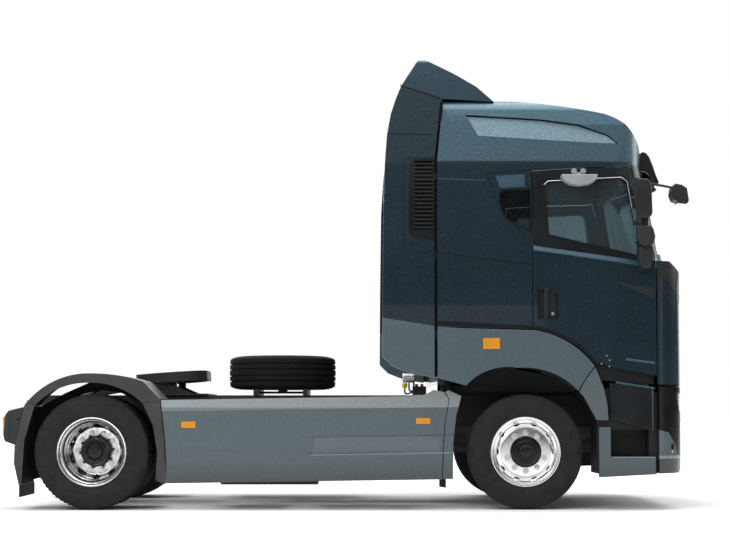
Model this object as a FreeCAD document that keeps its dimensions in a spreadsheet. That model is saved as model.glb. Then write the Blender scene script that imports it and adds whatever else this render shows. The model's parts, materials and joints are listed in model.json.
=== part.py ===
"""A two-axle semi truck tractor unit with a forward-control cab.

The document is parametric: every driving size is a cell of the sheet "Sizes", and sketches,
features and placements are bound to those cells.  +X points ahead, +Y to the driver's left and
+Z up.  The origin lies on the ground under the middle of the vehicle.
"""
import FreeCAD, Part
import math
import os
from types import SimpleNamespace

import Sketcher
from FreeCAD import Placement, Rotation, Vector

doc = FreeCAD.newDocument("TruckTractor")

# ---------------------------------------------------------------------------------------------
# Driving dimensions, millimetres and degrees
# ---------------------------------------------------------------------------------------------
DIMENSIONS = (
    ("wheelbase", 3800, "rear axle to front axle"),
    ("rear_axle_back", 2249, "origin back to the rear axle"),
    ("body_width", 2490, "over the cab sides and the skirts"),
    ("tyre_diameter", 1012, "315/70 R22.5"),
    ("tyre_width", 315, "over the side walls"),
    ("rim_seat_diameter", 571.5, "22.5 inch bead seat"),
    ("front_track", 2060, "between the front tyre centres"),
    ("twin_track", 1830, "between the middles of the twin pairs"),
    ("twin_spacing", 345, "between the two tyres of a pair"),
    ("kingpin_track", 1860, "between the steering kingpins"),
    ("rail_gap", 760, "between the frame rail webs"),
    ("rail_height", 260, "frame rail section"),
    ("rail_flange", 75, "frame rail section"),
    ("rail_wall", 8, "frame rail plate"),
    ("rail_top", 1010, "frame rail top above the ground"),
    ("coupling_height", 1226, "top of the fifth wheel plate"),
    ("coupling_lead", 600, "kingpin seat ahead of the rear axle"),
    ("kingpin_bore", 50.9, "jaw bore for a 50.8 mm kingpin"),
    ("cab_back", 775, "front axle back to the rear wall"),
    ("cab_front", 1418, "front axle ahead to the front face"),
    ("cab_split", 1089, "height of the joint between cab front and bumper"),
    ("roof_seam", 3060, "height of the joint between cab and roof cap"),
    ("roof_top", 3650, "rear edge of the roof cap"),
    ("cab_wall", 60, "cab side, rear and front wall thickness"),
    ("corner_radius", 300, "front corners of the cab in plan"),
    ("shut_gap", 7, "gap round a door"),
    ("glass_thickness", 6, "all panes"),
    ("skirt_thickness", 25, "moulded side skirt"),
    ("guard_thickness", 8, "moulded mudguard"),
    ("spare_lead", 1604, "spare wheel centre ahead of the rear axle"),
)

sheet = doc.addObject("Spreadsheet::Sheet", "Sizes")
for row, (alias, value, note) in enumerate(DIMENSIONS, start=1):
    sheet.set(f"A{row}", note)
    sheet.set(f"B{row}", str(value))
    sheet.setAlias(f"B{row}", alias)
doc.recompute()


class Size:
    """A number together with the sheet expression that it comes from."""

    def __init__(self, value, text):
        self.value = float(value)
        self.text = text

    @staticmethod
    def of(item):
        """Any plain number as a Size."""
        return item if isinstance(item, Size) else Size(item, f"({float(item)!r})")

    def joined(self, other, sign, value):
        return Size(value, f"({self.text} {sign} {other.text})")

    def __add__(self, other):
        other = Size.of(other)
        return self.joined(other, "+", self.value + other.value)

    def __sub__(self, other):
        other = Size.of(other)
        return self.joined(other, "-", self.value - other.value)

    def __mul__(self, other):
        other = Size.of(other)
        return self.joined(other, "*", self.value * other.value)

    def __truediv__(self, other):
        other = Size.of(other)
        return self.joined(other, "/", self.value / other.value)

    def __radd__(self, other):
        return Size.of(other) + self

    def __rsub__(self, other):
        return Size.of(other) - self

    def __rmul__(self, other):
        return Size.of(other) * self

    def __neg__(self):
        return Size.of(0) - self

    def __lt__(self, other):
        return self.value < Size.of(other).value


D = SimpleNamespace(**{alias: Size(value, f"Sizes.{alias}") for alias, value, note in DIMENSIONS})

REAR = -D.rear_axle_back
FRONT = D.wheelbase - D.rear_axle_back
WHEEL_Z = D.tyre_diameter / 2
HALF = D.body_width / 2
SIDES = (("left", 1), ("right", -1))
BOTH = (1, -1)


# ---------------------------------------------------------------------------------------------
# Helpers: bodies, sketches and features
# ---------------------------------------------------------------------------------------------
def number(item):
    return Size.of(item).value


def bind(thing, path, item):
    """Tie one property of an object to its sheet expression."""
    item = Size.of(item)
    thing.setExpression(path, item.text)


def place(thing, x=0, y=0, z=0, tilt=None):
    """Put an object at x, y, z, turned by tilt = (axis, degrees)."""
    turn = Rotation(Vector(*tilt[0]), tilt[1]) if tilt else Rotation()
    thing.Placement = Placement(Vector(number(x), number(y), number(z)), turn)
    for axis, item in (("x", x), ("y", y), ("z", z)):
        bind(thing, f"Placement.Base.{axis}", item)
    return thing


def body(label, x=0, y=0, z=0, tilt=None):
    """An empty PartDesign body with its own label and place."""
    made = doc.addObject("PartDesign::Body", label)
    made.Label = label
    return place(made, x, y, z, tilt)


def plane_of(owner, role):
    return next(item for item in owner.Origin.OriginFeatures if item.Role == f"{role}_Plane")


def arc_between(start, end, radius):
    """The shorter arc between two points, drawn counter-clockwise from the first."""
    chord = end - start
    left = Vector(-chord.y, chord.x, 0).normalize()
    rise = math.sqrt(max(radius * radius - chord.Length ** 2 / 4, 0))
    centre = (start + end) / 2 + left * rise
    angles = [math.atan2(point.y - centre.y, point.x - centre.x) for point in (start, end)]
    return Part.ArcOfCircle(Part.Circle(centre, Vector(0, 0, 1), radius), *angles)


def add_loop(sketch, corners):
    """Close a loop of lines and arcs; a corner is (u, v), or (u, v, radius)
    where an arc runs on to the next corner, positive when it turns left."""
    points = [Vector(number(corner[0]), number(corner[1]), 0) for corner in corners]
    ends = []
    for index, corner in enumerate(corners):
        start, end = points[index], points[(index + 1) % len(points)]
        if len(corner) == 2:
            ends.append((sketch.addGeometry(Part.LineSegment(start, end)), 1, 2))
            continue
        radius = Size.of(corner[2])
        if radius.value > 0:
            ends.append((sketch.addGeometry(arc_between(start, end, radius.value)), 1, 2))
        else:
            radius = -radius
            ends.append((sketch.addGeometry(arc_between(end, start, radius.value)), 2, 1))
        geometry = ends[-1][0]
        rule = sketch.addConstraint(Sketcher.Constraint("Radius", geometry, radius.value))
        bind(sketch, f"Constraints[{rule}]", radius)
    for index, (geometry, first, last) in enumerate(ends):
        following = ends[(index + 1) % len(ends)]
        sketch.addConstraint(Sketcher.Constraint("Coincident", geometry, last, following[0],
                                                 following[1]))
        for kind, axis, item in (("DistanceX", -2, corners[index][0]),
                                 ("DistanceY", -1, corners[index][1])):
            if number(item) == 0:
                sketch.addConstraint(Sketcher.Constraint("PointOnObject", geometry, first, axis))
                continue
            rule = sketch.addConstraint(Sketcher.Constraint(kind, -1, 1, geometry, first,
                                                            number(item)))
            bind(sketch, f"Constraints[{rule}]", item)


def add_circle(sketch, centre, radius):
    """A circle whose centre and radius follow the sheet."""
    geometry = sketch.addGeometry(Part.Circle(Vector(number(centre[0]), number(centre[1]), 0),
                                              Vector(0, 0, 1), number(radius)))
    rule = sketch.addConstraint(Sketcher.Constraint("Radius", geometry, number(radius)))
    bind(sketch, f"Constraints[{rule}]", radius)
    for kind, axis, item in (("DistanceX", -2, centre[0]), ("DistanceY", -1, centre[1])):
        if number(item) == 0:
            sketch.addConstraint(Sketcher.Constraint("PointOnObject", geometry, 3, axis))
            continue
        rule = sketch.addConstraint(Sketcher.Constraint(kind, -1, 1, geometry, 3, number(item)))
        bind(sketch, f"Constraints[{rule}]", item)


def draw(owner, role, loops, level=0):
    """A sketch on the XY, XZ or YZ plane of a body, moved to a level along the third axis."""
    sketch = owner.newObject("Sketcher::SketchObject", f"{owner.Name}Sketch")
    sketch.AttachmentSupport = [(plane_of(owner, role), "")]
    sketch.MapMode = "FlatFace"
    along = -Size.of(level) if role == "XZ" else Size.of(level)
    sketch.AttachmentOffset = Placement(Vector(0, 0, along.value), Rotation())
    bind(sketch, "AttachmentOffset.Base.z", along)
    for loop in loops:
        if loop[0] == "circle":
            add_circle(sketch, loop[1], loop[2])
        else:
            add_loop(sketch, loop)
    return sketch


def slab(owner, role, loops, low, high):
    """Pad loops from low to high along the axis across their plane."""
    sketch = draw(owner, role, loops, high if role == "XZ" else low)
    pad = owner.newObject("PartDesign::Pad", f"{owner.Name}Pad")
    pad.Profile = sketch
    bind(pad, "Length", Size.of(high) - low)
    sketch.Visibility = False
    return pad


def cut(owner, role, loops, low, high):
    """Pocket loops from low to high, and make sure that material goes away."""
    doc.recompute()
    before = owner.Shape.Volume
    sketch = draw(owner, role, loops, low if role == "XZ" else high)
    pocket = owner.newObject("PartDesign::Pocket", f"{owner.Name}Pocket")
    pocket.Profile = sketch
    bind(pocket, "Length", Size.of(high) - low)
    doc.recompute()
    if owner.Shape.Volume > before - 1:
        raise RuntimeError(f"{owner.Label}: a pocket cuts nothing")
    return pocket


def turn(owner, role, loops, axis="H_Axis", groove=False):
    """Revolve loops about the sketch's horizontal or vertical axis."""
    sketch = draw(owner, role, loops)
    kind = "Groove" if groove else "Revolution"
    made = owner.newObject(f"PartDesign::{kind}", f"{owner.Name}{kind}")
    made.Profile = sketch
    made.ReferenceAxis = (sketch, [axis])
    made.Angle = 360
    return made


def around(owner, features, count, axis="Y"):
    """Repeat features about one of the body's own axes."""
    doc.recompute()
    pattern = owner.newObject("PartDesign::PolarPattern", f"{owner.Name}Ring")
    pattern.Originals = features
    line = next(item for item in owner.Origin.OriginFeatures if item.Role == f"{axis}_Axis")
    pattern.Axis = (line, [""])
    pattern.Angle = 360
    pattern.Occurrences = count
    owner.Tip = pattern
    return pattern


def box(label, low, high):
    """A Part::Box between two opposite corners."""
    made = doc.addObject("Part::Box", label)
    made.Label = label
    place(made, *low)
    for name, first, last in zip(("Length", "Width", "Height"), low, high):
        bind(made, name, Size.of(last) - first)
    return made


def rod(label, start, end, radius):
    """A Part::Cylinder from start to end."""
    made = doc.addObject("Part::Cylinder", label)
    made.Label = label
    first = Vector(*[number(item) for item in start])
    last = Vector(*[number(item) for item in end])
    made.Radius = number(radius)
    bind(made, "Radius", radius)
    made.Height = (last - first).Length
    made.Placement = Placement(first, Rotation(Vector(0, 0, 1), last - first))
    return made


def joined(label, items):
    """One node of several solids that touch or stand apart."""
    made = doc.addObject("Part::MultiFuse", label)
    made.Label = label
    made.Shapes = items
    return made


def group(label, items):
    """One node of like solids that do not touch."""
    made = doc.addObject("Part::Compound", label)
    made.Label = label
    made.Links = items
    return made


def common(label, items):
    made = doc.addObject("Part::MultiCommon", label)
    made.Label = label
    made.Shapes = items
    return made


def less(label, base, tool):
    """Base without tool."""
    made = doc.addObject("Part::Cut", label)
    made.Label = label
    made.Base = base
    made.Tool = tool
    return made


def rect(low_u, low_v, high_u, high_v):
    return [(low_u, low_v), (high_u, low_v), (high_u, high_v), (low_u, high_v)]


def reach(sign, near, far):
    """The low and high Y of a span that lies near to far from the middle, on one side."""
    return (Size.of(near), Size.of(far)) if sign > 0 else (-Size.of(far), -Size.of(near))


NODES = []


def node(made):
    """Mark an object as a finished sub-part, exported under its label."""
    NODES.append(made)
    return made


# ---------------------------------------------------------------------------------------------
# Wheels: tyres, rims with hubs, knuckles
# ---------------------------------------------------------------------------------------------
BEAD = D.rim_seat_diameter / 2
TREAD = D.tyre_diameter / 2
SPINDLE = 45
RUNNING_GAP = 0.3
HUB_RADIUS = 140
HAND_HOLES = 10


def tyre_loop(middle=0):
    """The section of a tyre about its own middle plane: axial place, radius."""
    side = D.tyre_width / 2
    half = [(-side + 52, BEAD + 0.5), (-side, BEAD + 110), (-side + 14, TREAD - 36),
            (-side + 45, TREAD)]
    loop = half + [(-corner[0], corner[1]) for corner in reversed(half)]
    return [(middle + corner[0], corner[1]) for corner in loop]


def tyre(label, x, z, sign, middles):
    """One tyre, or a pair of them, as rings about the axle line."""
    made = body(label, x, 0, z)
    turn(made, "YZ", [tyre_loop(sign * middle) for middle in middles])
    return node(made)


def front_rim_loop(sign, middle):
    """Disc wheel whose disc lies almost flush with its outer flange."""
    loop = [(130, 298), (130, 306), (119, 306), (115, 286), (70, 284), (50, 262), (-50, 262),
            (-70, 284), (-112, 286), (-116, 306), (-126, 306), (-126, 298), (-114, 276),
            (-66, 272), (-44, 251), (92, 255), (98, HUB_RADIUS - 5), (122, HUB_RADIUS - 5), (122, 205),
            (112, 262)]
    return [(sign * (middle + corner[0]), corner[1]) for corner in loop]


def rear_rim_loop(sign, middle, facing):
    """Disc wheel with a deep dish; facing is 1 for the outer wheel and -1 for the inner."""
    seat = D.twin_spacing / 2
    loop = [(126, 296), (126, 306), (116, 306), (112, 286), (70, 284), (50, 262), (-50, 262),
            (-70, 284), (-115, 286), (-119, 306), (-130, 306), (-130, 298), (-118, 276),
            (-92, 272),
            (-seat, 232), (-seat, HUB_RADIUS - 5), (22 - seat, HUB_RADIUS - 5),
            (22 - seat, 214), (-62, 251), (44, 251), (60, 272), (112, 276)]
    return [(sign * (middle + facing * corner[0]), corner[1]) for corner in loop]


def hand_holes(made, sign, near, far, radius, size):
    """Round holes through a wheel disc, on a ring about the axle."""
    low, high = reach(sign, near, far)
    half_step = math.pi / HAND_HOLES
    centre = (radius * math.sin(half_step), radius * math.cos(half_step))
    first = cut(made, "XZ", [("circle", centre, size)], low, high)
    around(made, [first], HAND_HOLES)


for side, sign in SIDES:
    middle = D.front_track / 2
    tyre(f"front_tyre_{side}", FRONT, WHEEL_Z, sign, [middle])
    rim = body(f"front_rim_{side}", FRONT, 0, WHEEL_Z)
    turn(rim, "YZ", [front_rim_loop(sign, middle)])
    hand_holes(rim, sign, middle + 60, middle + 140, 228, 22)
    hub = [(20, SPINDLE + RUNNING_GAP), (134, SPINDLE + RUNNING_GAP), (134, 0), (172, 0),
           (172, 66), (150, 73), (150, 118), (140, HUB_RADIUS), (60, HUB_RADIUS), (20, 110)]
    turn(rim, "YZ", [[(sign * (middle + corner[0]), corner[1]) for corner in hub]])
    node(rim)

    middle = D.twin_track / 2
    gap = D.twin_spacing / 2
    tyre(f"rear_tyres_{side}", REAR, WHEEL_Z, sign, [middle - gap, middle + gap])
    rims = body(f"rear_rims_{side}", REAR, 0, WHEEL_Z)
    turn(rims, "YZ", [rear_rim_loop(sign, middle + gap, 1)])
    hand_holes(rims, sign, middle + 22, middle + gap - 50, 231, 18)
    turn(rims, "YZ", [rear_rim_loop(sign, middle - gap, -1)])
    hub = [(-60, SPINDLE + RUNNING_GAP), (112, SPINDLE + RUNNING_GAP), (112, 0), (150, 0),
           (150, 62), (132, 70), (132, 118), (96, HUB_RADIUS), (-60, HUB_RADIUS)]
    turn(rims, "YZ", [[(sign * (middle + corner[0]), corner[1]) for corner in hub]])
    node(rims)

# Steering knuckles: a fork over the eye of the axle beam, a spindle and a steering arm
KINGPIN_Y = D.kingpin_track / 2
EYE_HALF = 72
EYE_RADIUS = 46
for side, sign in SIDES:
    knuckle = body(f"knuckle_{side}", FRONT, sign * KINGPIN_Y, WHEEL_Z)
    fork = [("circle", (0, 0), 48)]
    slab(knuckle, "XY", fork, EYE_HALF + 2, EYE_HALF + 32)
    low, high = reach(sign, 0, 76)
    slab(knuckle, "XY", [rect(-48, low, 48, high)], EYE_HALF + 2, EYE_HALF + 32)
    low, high = reach(sign, 54, 80)
    slab(knuckle, "XZ", [rect(-60, -EYE_HALF - 32, 60, EYE_HALF + 32)], low, high)
    low, high = reach(sign, 0, 76)
    slab(knuckle, "XY", [rect(-48, low, 48, high)], -EYE_HALF - 32, -EYE_HALF - 2)
    slab(knuckle, "XY", fork, -EYE_HALF - 32, -EYE_HALF - 2)
    low, high = reach(sign, 80, D.front_track / 2 - KINGPIN_Y + 133)
    slab(knuckle, "XZ", [("circle", (0, 0), SPINDLE)], low, high)
    arm = [(-48, -20 * sign), (-48, 20 * sign), (-170, -40 * sign), (-170, -70 * sign)]
    slab(knuckle, "XY", [arm], -EYE_HALF - 32, -EYE_HALF - 8)
    node(knuckle)

# ---------------------------------------------------------------------------------------------
# Axles, springs and powertrain
# ---------------------------------------------------------------------------------------------
BEAM_DROP = 90
axle = body("front_axle", FRONT, 0, WHEEL_Z)
beam = [(-KINGPIN_Y, -42), (-KINGPIN_Y + 90, -42), (-560, -BEAM_DROP - 60),
        (560, -BEAM_DROP - 60), (KINGPIN_Y - 90, -42), (KINGPIN_Y, -42), (KINGPIN_Y, 42),
        (KINGPIN_Y - 90, 42), (540, -BEAM_DROP + 50), (-540, -BEAM_DROP + 50),
        (-KINGPIN_Y + 90, 42), (-KINGPIN_Y, 42)]
slab(axle, "YZ", [beam], -45, 45)
for sign in BOTH:
    slab(axle, "XY", [("circle", (0, sign * KINGPIN_Y), EYE_RADIUS)], -EYE_HALF, EYE_HALF)
node(axle)

axle = body("rear_axle", REAR, 0, WHEEL_Z)
end = D.twin_track / 2 + 111
half_housing = [(end, 0), (end, SPINDLE), (D.twin_track / 2 - 64, SPINDLE),
                (D.twin_track / 2 - 64, 78), (300, 78), (190, 150), (90, 226)]
mirrored = [(-item[0], item[1]) for item in reversed(half_housing)]
turn(axle, "YZ", [half_housing + mirrored])
slab(axle, "YZ", [("circle", (0, 60), 75)], 150, 330)
node(axle)

RAIL_Y = D.rail_gap / 2 + D.rail_wall
SPRING_Y = RAIL_Y + 48
SPRING_REACH = 840


pieces = []
for side, sign in SIDES:
    leaf = body(f"front_leaf_{side}", FRONT, 0, WHEEL_Z)
    low, high = reach(sign, SPRING_Y - 40, SPRING_Y + 40)
    pack = [(-SPRING_REACH, 120, 2300), (0, -BEAM_DROP + 50.3, 2300), (SPRING_REACH, 120),
            (SPRING_REACH, 160, -2600), (0, -BEAM_DROP + 110, -2600), (-SPRING_REACH, 160)]
    slab(leaf, "XZ", [pack], low, high)
    pieces.append(leaf)
    bellows = body(f"rear_bellows_{side}", REAR - 300, sign * (RAIL_Y + 40), WHEEL_Z - 130)
    mount = D.rail_top - D.rail_height - 0.3 - (WHEEL_Z - 130)
    rolls = [(0, 0), (100, 0), (106, 60), (88, 84), (108, 130), (108, 215), (60, 232),
             (60, mount), (0, mount)]
    turn(bellows, "XZ", [rolls], "V_Axis")
    pieces.append(bellows)
    arm = body(f"rear_arm_{side}", REAR, 0, WHEEL_Z)
    low, high = reach(sign, RAIL_Y + 2, RAIL_Y + 72)
    slab(arm, "XZ", [[(-420, -190), (-120, -140), (150, -140), (700, 60), (700, 130),
                      (150, -78.3), (-120, -78.3), (-180, -130.3), (-420, -130.3)]], low, high)
    pieces.append(arm)
node(group("springs", pieces))

# ---------------------------------------------------------------------------------------------
# Chassis frame, powertrain and radiator
# ---------------------------------------------------------------------------------------------
RAIL_BACK = -680
RAIL_FRONT = 1180
RAIL_BOTTOM = D.rail_top - D.rail_height
frame_front = D.wheelbase + RAIL_FRONT


def channel_loop(sign):
    """A C-section rail open towards the middle of the vehicle."""
    out, web = sign * RAIL_Y, sign * (RAIL_Y - D.rail_wall)
    lip = sign * (RAIL_Y - D.rail_flange)
    top, bottom, wall = D.rail_top, RAIL_BOTTOM, D.rail_wall
    return [(out, bottom), (out, top), (lip, top), (lip, top - wall), (web, top - wall),
            (web, bottom + wall), (lip, bottom + wall), (lip, bottom)]


frame_parts = []
for side, sign in SIDES:
    rail = body(f"rail_{side}", REAR)
    slab(rail, "YZ", [channel_loop(sign)], RAIL_BACK, frame_front)
    frame_parts.append(rail)
CROSS_MEMBERS = (
    # name, ahead of the rear axle, height of its middle, radius
    ("tail_member", -600, 880, 60),
    ("axle_member", 420, 900, 55),
    ("centre_member", 1250, 900, 55),
)
for name, ahead, height, radius in CROSS_MEMBERS:
    web = RAIL_Y - D.rail_wall
    member = rod(name, (REAR + ahead, -web, height), (REAR + ahead, web, height), radius)
    frame_parts.append(member)
PIVOT_X = 1265
PIVOT_Z = 650
FLOOR_BOTTOM = 1268
front_member = box("front_member", (FRONT + RAIL_FRONT - 70, -496, 600),
                   (FRONT + RAIL_FRONT, 496, D.rail_top - 30))
bumper_beam = box("bumper_beam", (FRONT + RAIL_FRONT - 60, -660, 610),
                  (FRONT + RAIL_FRONT - 10, 660, 690))
frame_parts += [front_member, bumper_beam]
for side, sign in SIDES:
    low, high = reach(sign, RAIL_Y, SPRING_Y + 45)
    for name, ahead in (("rear_hanger", -SPRING_REACH), ("front_hanger", SPRING_REACH)):
        foot = WHEEL_Z + 160.3
        hanger = box(f"{name}_{side}", (FRONT + ahead - 45, low, foot),
                     (FRONT + ahead + 45, high, D.rail_top - 80))
        frame_parts.append(hanger)
    low, high = reach(sign, RAIL_Y, RAIL_Y + 74)
    frame_parts.append(box(f"arm_hanger_{side}", (REAR + 655, low, WHEEL_Z + 130.3),
                           (REAR + 745, high, D.rail_top - 80)))
    for near in (404, 474):
        low, high = reach(sign, near, near + 22)
        ear = body(f"pivot_ear_{side}_{near}", FRONT)
        slab(ear, "XZ", [[(RAIL_FRONT - 5, 600), (RAIL_FRONT - 5, 740), (PIVOT_X + 12, 688),
                          (PIVOT_X + 38, PIVOT_Z), (PIVOT_X + 12, 612)]], low, high)
        frame_parts.append(ear)
    frame_parts.append(rod(f"tilt_pin_{side}", (FRONT + PIVOT_X, sign * 404, PIVOT_Z),
                           (FRONT + PIVOT_X, sign * 496, PIVOT_Z), 15))
    low, high = reach(sign, 560, 640)
    frame_parts.append(box(f"bumper_stub_{side}", (FRONT + RAIL_FRONT - 60, low, 620),
                           (FRONT + 1358, high, 680)))
    low, high = reach(sign, RAIL_Y - D.rail_flange, RAIL_Y + 20)
    frame_parts.append(box(f"cab_support_{side}", (FRONT - 700, low, D.rail_top - 20),
                           (FRONT - 620, high, FLOOR_BOTTOM - 0.3)))
node(joined("chassis_frame", frame_parts))

engine = body("powertrain", FRONT)
block = [(-900, 640), (-700, 480), (700, 480), (860, 640), (860, 1100), (-600, 1100),
         (-700, 1000), (-900, 1000)]
slab(engine, "XZ", [block], -300, 300)
gearbox = [(-1900, 620), (-900, 560), (-900, 960), (-1500, 930), (-1900, 860)]
slab(engine, "XZ", [gearbox], -190, 190)
slab(engine, "YZ", [("circle", (0, 700), 60)], -1960, -1900)
mount_reach = D.rail_gap / 2 - 0.3
for ahead in (-1450, -350, 500):
    slab(engine, "XZ", [rect(ahead, 800, ahead + 90, 860)], -mount_reach, mount_reach)
node(engine)

# ---------------------------------------------------------------------------------------------
# Cab: nested blocks give walls, doors and panes the same curves
# ---------------------------------------------------------------------------------------------
# All places in this section are ahead of the front axle and above the ground.
SEAT = 0.3
NOSE_BOW = 20
COWL = 2179
COWL_AHEAD = 1268
RAKE = 0.2156


def plan_loop(front, back, half, corner):
    """The cab seen from above: square at the back, round corners and a bowed nose ahead."""
    edge = front - NOSE_BOW
    inner = half - corner
    bow = (inner * inner + NOSE_BOW ** 2) / (2 * NOSE_BOW)
    return [(back, -half), (edge - corner, -half, corner), (edge, -inner, bow),
            (edge, inner, corner), (edge - corner, half), (back, half)]


def cab_block(name, inset, low, high):
    """The solid cab outline, shrunk all round by inset, between two heights."""
    back = inset - D.cab_back
    half = HALF - inset
    corner = D.corner_radius - inset
    lower = body(f"{name}_lower", FRONT)
    slab(lower, "XY", [plan_loop(D.cab_front - inset, back, half, corner)], low, COWL)
    side = [(back - 50, low - 50), (D.cab_front - inset + 50, low - 50),
            (D.cab_front - inset, 1659), (D.cab_front - 3 - inset, 1894),
            (D.cab_front - 21 - inset, 2081 - 0.4 * Size.of(inset)),
            (COWL_AHEAD - inset, COWL), (COWL_AHEAD - inset, COWL + 50),
            (back - 50, COWL + 50)]
    outline = body(f"{name}_side", FRONT)
    slab(outline, "XZ", [side], -HALF - 20, HALF + 20)
    trimmed = common(f"{name}_trimmed", [lower, outline])
    start = 2100
    run = COWL_AHEAD + RAKE * (COWL - start)
    upper = body(f"{name}_upper", FRONT)
    rake = slab(upper, "XY", [plan_loop(run - inset, back, half, corner)], start, high)
    rake.UseCustomVector = True
    rake.Direction = Vector(-RAKE, 0, 1)
    rake.AlongSketchNormal = True
    square = body(f"{name}_back", FRONT)
    slab(square, "XZ", [rect(back, start, 600, high)], -half, half)
    keep = body(f"{name}_keep", FRONT)
    slab(keep, "XZ", [rect(back, start - 10, 1400, Size.of(high) + 10)], -half - 5, half + 5)
    raked = common(f"{name}_raked", [upper, keep])
    return joined(f"{name}_block", [trimmed, raked, square])


def prism(name, outline, low, high, role="XZ"):
    """A straight cutter with a side-view or front-view outline."""
    made = body(name, FRONT)
    slab(made, role, [outline] if not isinstance(outline[0], list) else outline, low, high)
    return made


def layer(name, outer, inner, cutter):
    """The part of the space between two nested blocks that lies inside a cutter."""
    return common(name, [less(f"{name}_layer", outer, inner), cutter])


DOOR_BACK = 59
DOOR_FRONT = 1140
DOOR_CLEAR = 9


def door_opening():
    gap = D.shut_gap / 2
    return [(DOOR_BACK - gap, 1000), (DOOR_BACK - gap, 2973 + gap), (447, 2999 + gap),
            (948, 3007 + gap), (DOOR_FRONT + DOOR_CLEAR, 2242), (DOOR_FRONT + DOOR_CLEAR, 1000)]


def door_panel():
    gap = D.shut_gap / 2
    return [(DOOR_BACK + gap, 1571 + gap), (DOOR_BACK + gap, 2973 - gap), (447, 2999 - gap),
            (940, 3007 - gap), (DOOR_FRONT, 2240), (DOOR_FRONT, 1168 + gap),
            (724, 1248 + gap), (650, 1284), (594, 1284, 781)]


DOOR_WINDOW = [(162, 2850), (200, 2883), (842, 2917), (895, 2877), (1005, 2215), (200, 2405)]


QUARTER = [(-219, 2777), (-189, 2801), (40, 2808), (40, 2456), (-48, 2490), (-152, 2545),
           (-189, 2590), (-225, 2700)]
SCREEN = [(-1120, 2250), (1120, 2250), (1050, 2985), (-1050, 2985)]


def shrunk(outline, by=SEAT):
    """The outline drawn in towards its middle by about the given amount."""
    middle_u = sum(number(item[0]) for item in outline) / len(outline)
    middle_v = sum(number(item[1]) for item in outline) / len(outline)
    return [(item[0] + math.copysign(by, middle_u - number(item[0])),
             item[1] + math.copysign(by, middle_v - number(item[1]))) for item in outline]


outer = cab_block("outer", 0, D.cab_split + 6, D.roof_seam)
inner = cab_block("inner", D.cab_wall, 1000, D.roof_seam + 40)
walls = less("walls", outer, inner)
GRILLE = [(-640, 600), (640, 600), (640, 1700), (560, 1780), (-560, 1780), (-640, 1700)]
flare_top = [(-820, 1000), (-820, 1611), (-589, 1595), (DOOR_BACK, 1577), (DOOR_BACK, 1000)]
openings = [prism("door_cut", door_opening(), -1300, 1300),
            prism("quarter_cut", QUARTER, -1300, 1300),
            prism("screen_cut", SCREEN, 900, 1450, "YZ"),
            prism("grille_cut", GRILLE, 1200, 1450, "YZ")]
for side, sign in SIDES:
    low, high = reach(sign, HALF - D.cab_wall - 1, HALF + 20)
    openings.append(prism(f"flare_cut_{side}", flare_top, low, high))
node(less("cab_shell", walls, joined("cab_openings", openings)))

glass_face = cab_block("glass_face", 22, 1200, D.roof_seam)
glass_back = cab_block("glass_back", 22 + D.glass_thickness, 1150, D.roof_seam + 20)
node(layer("windscreen", glass_face, glass_back, prism("screen", shrunk(SCREEN), 900, 1450,
                                                       "YZ")))
node(layer("quarter_windows", glass_face, glass_back,
           prism("quarter", shrunk(QUARTER), -1300, 1300)))

for side, sign in SIDES:
    low, high = reach(sign, 900, 1300)
    leaf = layer(f"door_leaf_{side}", outer, inner, prism(f"leaf_{side}", door_panel(), low,
                                                          high))
    window = prism(f"window_{side}", DOOR_WINDOW, low, high)
    pocket_low, pocket_high = reach(sign, HALF - 34, HALF + 20)
    grip = prism(f"handle_pocket_{side}", [(111, 1673), (274, 1673), (274, 1860, 62),
                                           (212, 1922), (111, 1922)], pocket_low, pocket_high)
    low, high = reach(sign, HALF - 26, HALF - 2)
    bar = prism(f"handle_bar_{side}", rect(160, 1668, 190, 1928), low, high)
    hollow = joined(f"door_cuts_{side}", [window, grip])
    node(joined(f"door_{side}", [less(f"door_skin_{side}", leaf, hollow), bar]))
    low, high = reach(sign, 900, 1300)
    pane = prism(f"pane_{side}", shrunk(DOOR_WINDOW), low, high)
    node(layer(f"door_glass_{side}", glass_face, glass_back, pane))

# ---------------------------------------------------------------------------------------------
# Cab: floor with hinge arms, grille, roof, spoiler and deflectors
# ---------------------------------------------------------------------------------------------
FLOOR_TOP = FLOOR_BOTTOM + 40
inside = HALF - D.cab_wall - SEAT
cab_rear_wall = -D.cab_back + D.cab_wall + SEAT

door_side = inside - 6
floor_blank = box("floor_panel", (FRONT + cab_rear_wall, -door_side, FLOOR_BOTTOM),
                  (FRONT + D.cab_front, door_side, FLOOR_TOP))
corner_cut = cab_block("floor_limit", D.cab_wall + SEAT, 1000, 1400)
floor_panel = common("floor_trimmed", [floor_blank, corner_cut])
arms = []
for side, sign in SIDES:
    arm = body(f"tilt_arm_{side}", FRONT)
    low, high = reach(sign, 430, 470)
    outline = [(PIVOT_X - 35, PIVOT_Z), (PIVOT_X - 60, FLOOR_BOTTOM + 5),
               (PIVOT_X + 40, FLOOR_BOTTOM + 5), (PIVOT_X + 35, PIVOT_Z, -36)]
    slab(arm, "XZ", [outline], low, high)
    cut(arm, "XZ", [("circle", (PIVOT_X, PIVOT_Z), 15.3)], low - 5, high + 5)
    arms.append(arm)
    walls = body(f"floor_walls_{side}", FRONT)
    low, high = reach(sign, 688, 696)
    slab(walls, "XZ", [[(-519, FLOOR_BOTTOM + 1), (-519, 1040), (860, 1040), (1000, 1110),
                        (1000, FLOOR_BOTTOM + 1)]], low, high)
    arms.append(walls)
    sill = body(f"sill_{side}", FRONT)
    low, high = reach(sign, 1150, 1158)
    slab(sill, "XZ", [[(620, FLOOR_BOTTOM + 1), (620, 1135), (1130, 1095),
                       (1130, FLOOR_BOTTOM + 1)]], low, high)
    arms.append(sill)
node(joined("cab_floor", [floor_panel, *arms]))

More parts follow.
